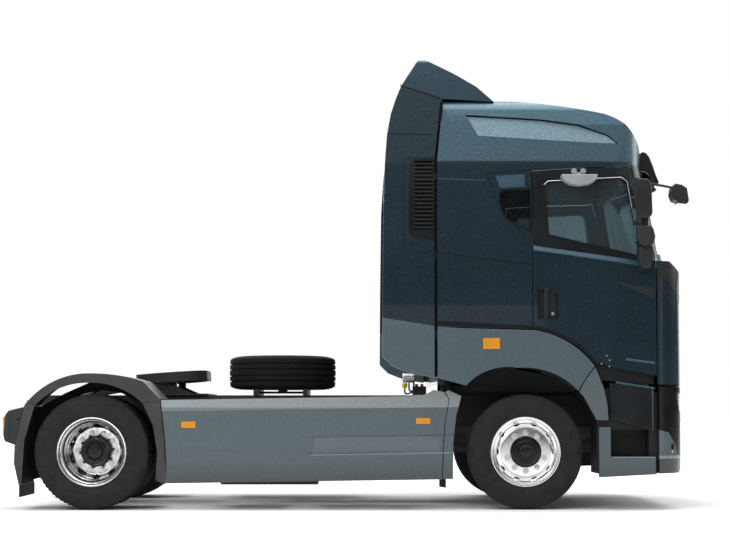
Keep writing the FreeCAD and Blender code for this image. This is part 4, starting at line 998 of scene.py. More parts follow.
@dataclass
class Studio:
    """Pale floor, soft lamps and a camera level with the truck's side."""

    camera_place: Point = (0.141, -14.25, 0.85)
    pitch: float = 2.78
    lens: float = 73.4
    sensor: float = 36.0
    sight: float = 200.0
    floor_size: float = 240.0
    rise: float = 0.09
    floor_colour: Colour = (0.80, 0.80, 0.80)
    floor_lift: float = 0.45
    shade_reach: float = 1.8
    world_grey: float = 0.35
    flags: Sequence[tuple[Point, Point]] = (
        ((-14, -20.1, 3.15), (4, -20, 6.2)), ((-14, -20.1, 0), (4, -20, 2.7)),
        ((4, -20.1, 0), (16, -20, 6.2)), ((18, -14, 0), (18.1, 14, 5)))
    lamps: list[Lamp] = field(default_factory=lambda: [
        Lamp("sky_lamp", (0.0, -1.0, 9.5), (0.0, 0.0, 1.0), (13.0, 7.0), 1150.0, (0.97, 0.99, 1.0)),
        Lamp("side_lamp", (-5.0, -12.0, 7.5), (0.3, 0.0, 1.6), (7.0, 4.0), 520.0),
        Lamp("front_lamp", (13.0, 2.0, 6.0), (2.0, 0.0, 1.8), (5.0, 5.0), 300.0),
        Lamp("far_lamp", (-3.0, 11.0, 6.5), (0.0, 0.0, 1.8), (8.0, 4.0), 420.0),
    ])

    def build(self) -> None:
        """Sets camera, floor, flags, world and lamps."""
        self.set_camera()
        self.lay_floor()
        self.hang_flags()
        self.set_world()
        for lamp in self.lamps:
            lamp.hang()
        bpy.context.scene.view_settings.view_transform = "Standard"

    def set_camera(self) -> None:
        """Places the camera."""
        lens = bpy.data.cameras.new("camera")
        lens.lens, lens.sensor_width = self.lens, self.sensor
        lens.shift_y = self.rise
        lens.clip_end = self.sight
        camera = bpy.data.objects.new("camera", lens)
        bpy.context.scene.collection.objects.link(camera)
        camera.location = self.camera_place
        camera.rotation_euler = (math.radians(90 + self.pitch), 0, 0)
        bpy.context.scene.camera = camera

    def lay_floor(self) -> None:
        """Lays a wide pale floor that keeps the truck's shadow."""
        bpy.ops.object.select_all(action="DESELECT")
        bpy.ops.mesh.primitive_plane_add(size=self.floor_size, location=(0, 0, 0))
        floor = settle(bpy.context.object, "studio_floor")
        recipe = Recipe("studio_floor")
        recipe.shader.inputs["Base Color"].default_value = (*self.floor_colour, 1)
        recipe.set(Roughness=0.95, Specular_IOR_Level=0.1)
        glow = recipe.node("Emission", Color=(1, 1, 1, 1))
        away = recipe.node("VectorMath", operation="LENGTH")
        recipe.link(recipe.coords.outputs["Object"], away.inputs[0])
        lift = recipe.span(away.outputs["Value"], self.floor_lift, 1.0, 4.5, 11.0)
        strength = recipe.node("Math", operation="MULTIPLY")
        recipe.link(self.seen(recipe), strength.inputs[0])
        near = recipe.node("AmbientOcclusion", samples=8)
        near.inputs["Distance"].default_value = self.shade_reach
        shade = recipe.node("Math", operation="POWER")
        shade.inputs[1].default_value = 1.6
        recipe.link(near.outputs["AO"], shade.inputs[0])
        shaded = recipe.node("Math", operation="MULTIPLY")
        recipe.link(lift, shaded.inputs[0])
        recipe.link(shade.outputs[0], shaded.inputs[1])
        recipe.link(shaded.outputs[0], strength.inputs[1])
        recipe.link(strength.outputs[0], glow.inputs["Strength"])
        both = recipe.node("AddShader")
        recipe.link(recipe.shader.outputs[0], both.inputs[0])
        recipe.link(glow.outputs[0], both.inputs[1])
        recipe.link(both.outputs[0], recipe.tree.nodes["Material Output"].inputs["Surface"])
        floor.data.materials.append(recipe.material)

    @staticmethod
    def seen(recipe: Recipe) -> Socket:
        """Says whether a ray is the camera's own, or one through glass or off metal.

        Args:
            recipe: Where the nodes go.

        Returns:
            A value of 1 for such a ray.
        """
        path = recipe.node("LightPath")
        found = path.outputs["Is Camera Ray"]
        for kind in ("Is Transmission Ray", "Is Glossy Ray"):
            step = recipe.node("Math", operation="MAXIMUM")
            recipe.link(found, step.inputs[0])
            recipe.link(path.outputs[kind], step.inputs[1])
            found = step.outputs[0]
        return found

    def hang_flags(self) -> None:
        """Hangs dark flags behind the camera and ahead, which the paint mirrors."""
        for index, (low, high) in enumerate(self.flags):
            flag = block(f"studio_flag_{index}", low, high)
            recipe = Recipe(flag.name)
            recipe.shader.inputs["Base Color"].default_value = (0.02, 0.02, 0.02, 1)
            recipe.set(Roughness=0.9)
            flag.data.materials.append(recipe.material)
            flag.visible_camera = flag.visible_diffuse = flag.visible_shadow = False

    def set_world(self) -> None:
        """Sets a grey surround that is white to the camera."""
        world = bpy.data.worlds.new("studio_world")
        bpy.context.scene.world = world
        world.use_nodes = True
        tree = world.node_tree
        path = tree.nodes.new("ShaderNodeLightPath")
        first = tree.nodes.new("ShaderNodeMath")
        first.operation = "MAXIMUM"
        second = tree.nodes.new("ShaderNodeMath")
        second.operation = "MAXIMUM"
        tree.links.new(path.outputs["Is Camera Ray"], first.inputs[0])
        tree.links.new(path.outputs["Is Transmission Ray"], first.inputs[1])
        tree.links.new(first.outputs[0], second.inputs[0])
        tree.links.new(path.outputs["Is Glossy Ray"], second.inputs[1])
        level = tree.nodes.new("ShaderNodeMapRange")
        level.inputs["To Min"].default_value = self.world_grey
        level.inputs["To Max"].default_value = 1.0
        tree.links.new(second.outputs[0], level.inputs["Value"])
        tree.links.new(level.outputs[0], tree.nodes["Background"].inputs["Strength"])
        tree.nodes["Background"].inputs["Color"].default_value = (1, 1, 1, 1)


class Assembly:
    """A sub-assembly that builds its own pieces."""

    def build(self, frame: dict) -> None:
        """Builds and dresses the pieces; each sub-assembly has its own."""
        raise NotImplementedError


# ---- Bodywork ----
def titled(piece: Piece, name: str) -> Piece:
    """Names a piece and its mesh."""
    piece.name = piece.data.name = name
    return piece


def flank(corners: Iterable[Point2], y: float) -> list[Point]:
    """Sets side-view corners, in millimetres ahead of the front axle, at a width."""
    return [(fore(ahead), y, up / 1000) for ahead, up in corners]


def cutout(name: str, corners: Sequence[Point2], low: float, high: float) -> Piece:
    """Extrudes a side-view outline between two widths.

    Args:
        name: The piece's name.
        corners: Millimetres ahead of the front axle and above the ground.
        low: Where it starts across the truck, in metres.
        high: Where it ends.

    Returns:
        The piece.
    """
    return board(name, flank(corners, low), (0, high - low, 0))


def sided(name: str, corners: Sequence[Point2], side: Side, low: float, high: float) -> Piece:
    """Extrudes a side-view outline between two distances from the middle, on one side."""
    return cutout(name, corners, side.value * low, side.value * high)


@dataclass(frozen=True)
class Zone:
    """A part of a panel with a finish of its own, inside a side-view outline."""

    name: str
    finish: Finish
    corners: Sequence[Point2]


@dataclass(frozen=True)
class Panel:
    """A CAD panel that is shown through a rounded copy, perhaps in two finishes."""

    node: str
    body: str
    finish: Finish
    edge: float = 0.003
    sharp: float = 28.0
    zone: Zone | None = None


ABOVE_BELT = ((30, 2312), (993, 2174), (1300, 2174), (1300, 3100), (30, 3100))
PILLARS = ((930, 3035), (1133, 2250), (1133, 2218), (1500, 2218), (1500, 3035))


@dataclass
class Bodywork(Assembly):
    """Painted and moulded panels of cab and chassis."""

    panels: Sequence[Panel] = (Panel("cab_shell", "cab", SLATE,
                                     zone=Zone("windscreen_pillars", GLOSS_BLACK, PILLARS)),
                               # the roof cap wears the lighter slate copy, a painted light
                               Panel("roof_cap", "cab", SLATE_PAINTED_LIGHT, 0.005),
                               Panel("roof_spoiler", "cab", SLATE_SPOILER_PAINTED_LIGHT, EDGE_SOFT),
                               Panel("wheel_arches", "cab", GREY_ARCH, EDGE_SOFT),
                               Panel("lower_steps", "chassis", GREY, EDGE_TRIM),
                               Panel("step_panels", "chassis", GLOSS_BLACK, 0.010),
                               Panel("front_bumper", "chassis", BUMPER_BLACK, EDGE_THIN),
                               Panel("lower_bumper", "chassis", GREY, EDGE_TRIM),
                               Panel("side_skirts", "chassis", GREY, EDGE_FINE, 20.0),
                               Panel("rear_mudguards", "chassis", GUARD_PLASTIC, EDGE_THIN,
                                     zone=Zone("mud_flaps", BLACK_TRIM, ((-4460, 60), (-4390, 60),
                                                                         (-4390, 216.8),
                                                                         (-4460, 216.8)))),
                               Panel("door_left", "door_body_left", SLATE,
                                     zone=Zone("window_surround_left", GLOSS_BLACK, ABOVE_BELT)),
                               Panel("door_right", "door_body_right", SLATE,
                                     zone=Zone("window_surround_right", GLOSS_BLACK, ABOVE_BELT)),
                               Panel("grille", "cab", GLOSS_BLACK, EDGE_THIN))

    def build(self, frame: dict) -> None:
        """Makes and dresses every panel's copy."""
        for panel in self.panels:
            node = frame["nodes"][panel.node]
            copy = remade(node, panel.node + "_panel")
            if panel.zone:
                part = twin(copy, Matrix.Identity(4))
                tools = [cutout("zone", panel.zone.corners, -BEYOND, BEYOND) for _ in range(2)]
                carved(copy, tools[0])
                carved(part, tools[1], "INTERSECT")
                titled(part, panel.zone.name)
                bevelled(part, panel.edge, angle=panel.sharp)
                shown(part, panel.body, panel.zone.finish, angle=panel.sharp)
            bevelled(copy, panel.edge, angle=panel.sharp)
            shown(copy, panel.body, panel.finish, [panel.node], panel.sharp)


# ---- Wheels ----
def metres(profile: Iterable[Point2]) -> list[Point2]:
    """Turns a profile in millimetres into metres."""
    return [(across / 1000, radius / 1000) for across, radius in profile]


class Tread(Enum):
    """Tread patterns: steered wheels run on ribs, driven wheels on blocks."""

    RIBS = "ribs"
    BLOCKS = "blocks"


@dataclass
class Tyre:
    """One tyre, with a ringed sidewall and a grooved tread."""

    name: str
    centre: Point
    tread: Tread
    steps: int = 144
    lug_every: int = 3
    wall: Sequence[Point2] = (
        (104, 292), (118, 296), (131, 307), (137, 315), (135, 321), (141, 331), (149, 352),
        (152, 362), (153.5, 362.5), (155.5, 378), (157.2, 396), (156.5, 414), (153.5, 431),
        (151, 439), (152.2, 442), (148, 456), (143, 467), (144.2, 470), (139, 481), (134, 490),
        (128, 497), (120, 501))

    def crown(self, across: float) -> float:
        """Returns the tread's radius at a distance from the middle, in millimetres."""
        return 506.0 - 5.0 * (across / 120.0) ** 2

    def section(self) -> list[Point2]:
        """Returns the closed section, from one bead over the tread to the other."""
        grooves = (80.0, 30.0, -30.0, -80.0) if self.tread is Tread.RIBS else (48.0, 0.0, -48.0)
        half = 6.0 if self.tread is Tread.RIBS else 8.0
        top: list[Point2] = []
        for middle in grooves:
            for across, deep in ((half, 0), (half * 0.55, 13), (-half * 0.55, 13), (-half, 0)):
                top.append((middle + across, self.crown(middle + across) - deep))
        walls = list(self.wall)
        return metres(walls + top + [(-a, r) for a, r in reversed(walls)])

    def build(self) -> Piece:
        """Spins the section and notches the shoulders of a block tread."""
        piece = spun(self.name, self.section(), self.centre, self.steps)
        if self.tread is Tread.BLOCKS:
            self.notch(piece)
        return piece

    def notch(self, piece: Piece) -> None:
        """Sinks slots across both shoulders, evenly round the tyre."""
        alone(piece)
        bpy.ops.object.mode_set(mode="EDIT")
        bpy.ops.mesh.select_mode(type="VERT")
        bpy.ops.mesh.select_all(action="DESELECT")
        mesh = bmesh.from_edit_mesh(piece.data)
        step = math.tau / self.steps
        for vert in mesh.verts:
            place = vert.co - Vector(self.centre)
            radius = math.hypot(place.x, place.z)
            index = round(math.atan2(place.x, place.z) / step) % self.lug_every
            vert.select_set(index == 0 and radius > 0.478 and abs(place.y) > 0.05)
        bmesh.update_edit_mesh(piece.data)
        bpy.ops.transform.resize(value=(0.986, 1.0, 0.986), center_override=self.centre)
        bpy.ops.object.mode_set(mode="OBJECT")


@dataclass
class WheelNuts:
    """Ten wheel nuts on their studs, each with its washer."""

    name: str
    centre: Point
    face: float
    sign: int
    pitch_radius: float = 0.1675
    count: int = 10
    phase: float = 0.0

    def build(self) -> Piece:
        """Models one nut and copies it round the wheel."""
        x, y, z = self.centre
        z += self.pitch_radius

        def lay(name: str, radius: float, start: float, end: float, sides: int) -> Piece:
            """Adds a round or hexagonal length on the stud's axis."""
            middle = y + self.sign * (self.face + (start + end) / 2)
            return drum(name, (x, middle, z), radius, end - start, Axis.Y, sides)

        nut = bevelled(lay("nut", 0.0195, 0.004, 0.024, 6), 0.0025)
        washer = bevelled(lay("washer", 0.0265, -0.001, 0.0055, 20), 0.0015)
        stud = bevelled(lay("stud", 0.0105, 0.0, 0.033, 12), EDGE_FINE)
        return around(joined(self.name, [nut, washer, stud]), self.count, self.centre, self.phase)


@dataclass
class Wheel(Assembly):
    """What the wheels of both axles share: side, centre and body."""

    side: Side
    centre: Point
    body: str

    def ring_of_holes(self, rim: Piece, low: float, high: float, radius: float,
                      across: float, upright: float, phase: float) -> None:
        """Cuts ten oval hand holes through a rim.

        Args:
            rim: The rim.
            low: Where the cut starts along the axle, from the wheel's middle.
            high: Where it ends.
            radius: The holes' distance from the axle.
            across: Half of a hole's width round the wheel.
            upright: Half of its height.
            phase: Turn of the first.
        """
        x, y, z = self.centre
        middle = y + self.side.value * (low + high) / 2
        tool = drum("hole", (x, middle, z + radius), 1.0, high - low, Axis.Y, 20)
        with editing(tool):
            bpy.ops.transform.resize(value=(across, 1, upright),
                                     center_override=(x, middle, z + radius))
        carved(rim, around(tool, 10, self.centre, phase))

    def spin(self, name: str, profile: Sequence[Point2], steps: int = 72) -> Piece:
        """Spins a profile in millimetres about this wheel's axle."""
        return spun(name, metres(profile), self.centre, steps, self.side.value)


@dataclass
class FrontWheel(Wheel):
    """Steered wheel: forged alloy disc nearly flush with its flange, black hub."""

    rim: Sequence[Point2] = (
        (130, 306), (131.5, 300), (129, 291), (121, 284), (111, 274), (107, 258), (109, 240),
        (116, 228), (120, 221), (128, 217), (131, 211), (131, 138), (122, 134), (110, 136),
        (110, 205), (98, 222), (90, 240), (86, 250), (60, 254), (-44, 254), (-66, 272),
        (-114, 276), (-126, 298), (-126, 306), (-116, 306), (-112, 286), (-70, 284), (-50, 262),
        (50, 262), (70, 284), (115, 286), (119, 306))
    hub: Sequence[Point2] = (
        (60, 128), (135, 128), (139, 125), (140, 118), (141, 108), (139, 104), (139, 99),
        (143, 96), (146, 92), (147, 80), (146, 76), (158, 73), (163, 70), (165, 62), (163, 48),
        (166, 45), (168, 34), (168, 12), (170, 9), (170, 0), (60, 0))
    drum_face: Sequence[Point2] = ((20, 236), (70, 236), (76, 226), (76, 150), (20, 150))

    def build(self, frame: dict) -> None:
        """Builds tyre, rim, nuts and hub."""
        word = self.side.word
        tyre = Tyre(f"front_tyre_{word}_rubber", self.centre, Tread.RIBS).build()
        shown(tyre, self.body, TYRE, [f"front_tyre_{word}"], 40)
        rim = self.spin(f"front_rim_{word}_disc", self.rim, 96)
        self.ring_of_holes(rim, low=0.082, high=0.150, radius=0.255, across=0.031, upright=0.021,
                           phase=math.pi / 10)
        shown(rim, self.body, FORGED_ALLOY, [f"front_rim_{word}"], 30)
        nuts = WheelNuts(f"front_nuts_{word}", self.centre, 0.131, self.side.value).build()
        shown(nuts, self.body, NUT_STEEL)
        shown(self.spin(f"front_hub_{word}", self.hub), self.body, HUB_BLACK, angle=25)
        shown(self.spin(f"front_drum_{word}", self.drum_face), self.body, ENGINE_CAST)


@dataclass
class RearWheel(Wheel):
    """Driven twin wheels: the outer disc lies deep inside its rim."""

    spacing: float = 0.1725
    outer_rim: Sequence[Point2] = (
        (126, 306), (127.5, 300), (125, 291), (116, 285), (106, 281), (100, 274), (97, 273),
        (94, 276), (88, 275), (80, 268), (66, 260), (48, 252), (-40, 250), (-72, 247),
        (-112, 238), (-136, 224), (-148, 211), (-150, 206), (-150, 138), (-153, 134),
        (-164, 136), (-164, 216), (-146, 240), (-114, 260), (-98, 270), (-118, 277), (-130, 298),
        (-130, 306), (-119, 306), (-115, 286), (-70, 284), (-50, 262), (50, 262), (70, 284),
        (112, 286), (116, 306))
    inner_rim: Sequence[Point2] = (
        (-126, 306), (-126, 298), (-112, 276), (-60, 272), (-44, 251), (62, 251), (148, 216),
        (148, 138), (165, 138), (165, 222), (92, 270), (118, 276), (130, 298), (130, 306),
        (119, 306), (115, 286), (70, 284), (50, 262), (-50, 262), (-70, 284), (-112, 286),
        (-116, 306))
    drum_face: Sequence[Point2] = (
        (-250, 232), (-62, 232), (-52, 225), (-50, 215), (-50, 60), (-250, 60))
    hub: Sequence[Point2] = (
        (-58, 138), (64, 138), (72, 134), (78, 126), (84, 122), (112, 118), (124, 114),
        (131, 106), (133, 98), (133, 74), (130, 70), (142, 66), (148, 60), (150, 50), (150, 0),
        (-58, 0))

    def build(self, frame: dict) -> None:
        """Builds both tyres, both rims, nuts, hub and its lugs."""
        word, sign = self.side.word, self.side.value
        x, y, z = self.centre
        outer, inner = (x, y + sign * self.spacing, z), (x, y - sign * self.spacing, z)
        tyres = joined(f"rear_tyres_{word}_rubber", [
            Tyre("outer", outer, Tread.BLOCKS, 216).build(),
            Tyre("inner", inner, Tread.BLOCKS, 216).build()])
        shown(tyres, self.body, TYRE, [f"rear_tyres_{word}"], 40)
        rim = spun(f"rear_rims_{word}_disc", metres(self.outer_rim), outer, 96, sign)
        holes = {"radius": 0.230, "across": 0.029, "upright": 0.024, "phase": 0.0}
        self.ring_of_holes(rim, low=0.000, high=0.085, **holes)
        back = spun("inner_rim", metres(self.inner_rim), inner, 48, sign)
        self.ring_of_holes(back, low=-0.110, high=0.010, **holes)
        drum_face = self.spin(f"rear_drum_{word}", self.drum_face)
        shown(drum_face, self.body, AXLE_BLACK)
        shown(joined(f"rear_rims_{word}_disc", [rim, back]), self.body, FORGED_ALLOY,
              [f"rear_rims_{word}"], 30)
        nuts = WheelNuts(f"rear_nuts_{word}", self.centre, self.spacing - 0.150, sign,
                         phase=0.35).build()
        shown(nuts, self.body, NUT_STEEL)
        hub = self.spin(f"rear_hub_{word}", self.hub)
        lug = bevelled(block("lug", (x - 0.012, y + sign * 0.030, z + 0.130),
                             (x + 0.012, y + sign * 0.060, z + 0.154)), EDGE_THIN)
        lugs = around(lug, 10, self.centre, 0.2)
        bolt = bevelled(drum("hub_bolt", (x, y + sign * 0.137, z + 0.089), 0.009, 0.012, Axis.Y, 6),
                        0.0015)
        bolts = around(bolt, 10, self.centre, 0.1)
        shown(joined(f"rear_hub_{word}", [hub, lugs, bolts]), self.body, HUB_BLACK, angle=25)


@dataclass
class SpareWheel(Assembly):
    """Spare wheel lying flat on its carrier."""

    body: str = "chassis"

    def build(self, frame: dict) -> None:
        """Builds the wheel upright at the origin and lays it on the carrier."""
        low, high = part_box("spare_tyre")
        middle = (low + high) / 2
        lay = Matrix.Translation(middle) @ Matrix.Rotation(math.pi / 2, 4, "X")
        for name, made, finish, node in (
                ("spare_tyre_rubber", Tyre("spare", (0, 0, 0), Tread.RIBS).build(), TREAD,
                 ["spare_tyre"]),
                ("spare_rim_disc", spun("rim", metres(FrontWheel.rim), (0, 0, 0), 72, -1),
                 FORGED_ALLOY, ["spare_rim"])):
            laid = twin(made, lay)
            bpy.data.objects.remove(made)
            titled(laid, name)
            shown(laid, self.body, finish, node, 40)


# ---- Cab trim ----
WINDOW = ((162, 2850), (200, 2883), (842, 2917), (895, 2877), (1005, 2215), (200, 2405))
QUARTER_GLASS = ((-219, 2777), (-189, 2801), (40, 2808), (40, 2456), (-48, 2490),
                 (-152, 2545), (-189, 2590), (-225, 2700))


def rim(name: str, corners: Sequence[Point2], side: Side, grow: float, inner: float,
        outer: float) -> Piece:
    """Models a frame of even width round a side-view outline.

    Args:
        name: The piece's name.
        corners: The opening's corners, in millimetres.
        side: The side of the truck.
        grow: The frame's width, in millimetres; outwards where positive.
        inner: Its inner face across the truck, in metres.
        outer: Its outer face.

    Returns:
        The frame.
    """
    turn = sum(a[0] * b[1] - b[0] * a[1] for a, b in zip(corners, [*corners[1:], corners[0]]))
    sign = 1 if turn > 0 else -1
    wide = []
    for index, here in enumerate(corners):
        before, after = corners[index - 1], corners[(index + 1) % len(corners)]
        first = Vector((here[0] - before[0], here[1] - before[1])).normalized()
        second = Vector((after[0] - here[0], after[1] - here[1])).normalized()
        normal = Vector((first.y, -first.x)) + Vector((second.y, -second.x))
        normal = normal.normalized() / max(0.35, normal.length / 2)
        wide.append((here[0] + sign * grow * normal.x, here[1] + sign * grow * normal.y))
    low, high = side.value * inner, side.value * outer
    big, small = (wide, corners) if grow > 0 else (corners, wide)
    piece = cutout(name, big, low, high)
    reach = side.value * 0.01
    return carved(piece, cutout("hole", small, low - reach, high + reach))


def ridge(name: str, corners: Sequence[Point2], side: Side, outer: float) -> Piece:
    """Models a slim raised strip on the truck's flank."""
    return bevelled(sided(name, corners, side, PANEL_FACE, outer), RIDGE_EDGE, 2, 20)


def both(build: Callable[[Side], Piece], name: str) -> Piece:
    """Models a piece on each side and joins the two."""
    return joined(name, [build(side) for side in Side])


@dataclass
class CabTrim(Assembly):
    """Seams, seals, frames and ridges of the cab's sides."""

    gutter: Sequence[Point2] = ((-770, 3064), (-600, 3068), (560, 3066), (900, 3056), (905, 3048),
                                (560, 3057), (-600, 3059), (-770, 3055))
    rear_seam: Sequence[Point2] = ((-770, 2907), (-345, 2892), (-345, 2886), (-770, 2900))
    quarter_panel: Sequence[Point2] = ((-335, 2948), (50, 2977), (50, 2440), (-48, 2477),
                                       (-152, 2532), (-189, 2578), (-244, 2703))
    body_joints: Sequence[Sequence[Point2]] = (
        ((-772, 2254), (52, 2148), (52, 2142), (-772, 2248)),
        ((-772, 1652), (52, 1610), (52, 1578), (-772, 1616)))
    badge_recess: Sequence[Point2] = ((-262, 2928), (-6, 2944), (-6, 2832), (-222, 2822))

    def build(self, frame: dict) -> None:
        """Builds the trim of both sides."""
        lit = [both(lambda side: ridge("gutter", self.gutter, side, 1.2485), "gutters"),
               both(lambda side: ridge("rear_seam", self.rear_seam, side, 1.2475), "rear_seams"),
               both(lambda side: bevelled(sided("recess", self.badge_recess, side, PANEL_FACE,
                                                1.2462), 0.0015), "recesses")]
        # the gutters, seams and badge recesses wear the lighter slate copy: a painted highlight
        # along them
        shown(joined("cab_side_seams", lit), "cab", SLATE_PAINTED_LIGHT)
        gaskets = [both(lambda side: bevelled(rim("quarter_gasket", QUARTER_GLASS, side, 16, 1.205,
                                                  1.2475), EDGE_FINE), "quarter_gaskets"),
                   both(lambda side: rim("quarter_line", self.quarter_panel, side, 7, 1.240,
                                         1.2462), "quarter_lines")]
        shown(joined("quarter_window_seals", gaskets), "cab", SEAL_RUBBER)
        seal = ((-806, 1165), (-770, 1165), (-770, 3060), (-716, 3600), (-752, 3600), (-806, 3062))
        joints = [both(lambda side, c=corners: sided("joint", c, side, SEAM_FACE, 1.2460),
                       "joints") for corners in self.body_joints]
        shown(joined("cab_side_joints", joints), "cab", SEAL_RUBBER)
        shown(both(lambda side: bevelled(sided("seal", seal, side, 1.150, 1.205), EDGE_SOFT),
                   "deflector_seals"), "cab", SEAL_RUBBER)
        for side in Side:
            self.door(side)

    def door(self, side: Side) -> None:
        """Adds a door's window frame, belt ridges and handle."""
        word, body = side.word, f"door_body_{side.word}"
        gasket = bevelled(rim("gasket", WINDOW, side, 13, 1.205, 1.2478), EDGE_FINE)
        lip = bevelled(rim("lip", WINDOW, side, -9, 1.2300, 1.2440), EDGE_FINE)
        shown(joined(f"window_gasket_{word}", [gasket, lip]), body, SEAL_RUBBER)
        line = [(162, 2850), (200, 2883), (842, 2917), (895, 2877), (990, 2310)]
        trim = tube("line", [(x, side.value * 1.2478, z) for x, _, z in flank(line, 0)], 0.0024, 8,
                    False)
        low, run = FRONT_AXLE + 0.066, (0.925, 0, -0.132)
        shelf = [(low, side.value * y, z) for y, z in
                 ((1.2435, 2.3160), (1.2600, 2.2790), (1.2600, 2.2730), (1.2435, 2.2660))]
        belt = board("belt", shelf, run)
        crease = sided("crease", ((870, 1326), (1124, 1290), (1124, 1272), (870, 1304)), side,
                       PANEL_FACE, 1.2560)
        dart = sided("dart", ((812, 1989), (1134, 1930), (1134, 1838)), side, PANEL_FACE, 1.2500)
        # painted shadow above the flare, laid over the real joint
        arch_shadow = self.arch_band(side)
        shown(arch_shadow, body, SEAL_RUBBER)
        # the belt and crease ridges wear the lighter slate copy: a painted highlight along them
        shown(joined(f"door_ridges_{word}",
                     [bevelled(belt, EDGE_THIN), bevelled(crease, 0.005, 3)]), body, SLATE_PAINTED_LIGHT)
        shown(bevelled(dart, EDGE_TRIM, 3), body, SATIN_BLACK).name = f"door_dart_{word}"
        shown(trim, body, LATCH_STEEL)
        titled(trim, f"window_bright_line_{word}")
        self.handle(side)

    def arch_band(self, side: Side) -> Piece:
        """Models a dark band over the joint between a door's lower rear edge and the flare, wider
        than the joint: a painted shadow above the flare's edge.
        """
        start, end, radius = Vector((594, 1284)), Vector((66, 1575)), 781.0
        middle, half = (start + end) / 2, (end - start) / 2
        across = Vector((half.y, -half.x)).normalized()
        reach = math.sqrt(radius ** 2 - half.length ** 2)
        centre = min((middle + across * reach, middle - across * reach), key=lambda p: p.y)
        first = math.atan2(start.y - centre.y, start.x - centre.x)
        last = math.atan2(end.y - centre.y, end.x - centre.x)
        angles = [first + (last - first) * step / 12 for step in range(13)]
        inner = [(centre.x + (radius + 2) * math.cos(a), centre.y + (radius + 2) * math.sin(a))
                 for a in angles]
        outer = [(centre.x + (radius + 30) * math.cos(a), centre.y + (radius + 30) * math.sin(a))
                 for a in reversed(angles)]
        return sided(f"door_arch_band_{side.word}", inner + outer, side, SEAM_FACE, 1.2462)

    def handle(self, side: Side) -> None:
        """Adds the bezel, the black cup and the lock of a door's handle."""
        pocket = ((111, 1673), (274, 1673), (274, 1872), (262, 1902), (232, 1922), (111, 1922))
        bezel = bevelled(rim("bezel", pocket, side, 10, 1.2430, 1.2490), EDGE_THIN)
        shown(bezel, f"door_body_{side.word}", GLOSS_BLACK)
        titled(bezel, f"handle_bezel_{side.word}")
        cup = sided("cup", ((114, 1676), (271, 1676), (271, 1868), (229, 1918), (114, 1918)), side,
                    1.2115, 1.2150)
        grip = bevelled(sided("grip", ((156, 1664), (194, 1664), (194, 1932), (156, 1932)), side,
                              SEAM_FACE, 1.2530), EDGE_TRIM, 3)
        lock = drum("lock", (FRONT_AXLE + 0.238, side.value * 1.2170, 1.715), 0.013, 0.006, Axis.Y,
                    20)
        shown(joined(f"handle_cup_{side.word}", [cup, grip]), f"door_body_{side.word}",
              BLACK_TRIM)
        shown(bevelled(lock, EDGE_FINE), f"door_body_{side.word}", LATCH_STEEL)
        titled(lock, f"door_lock_{side.word}")


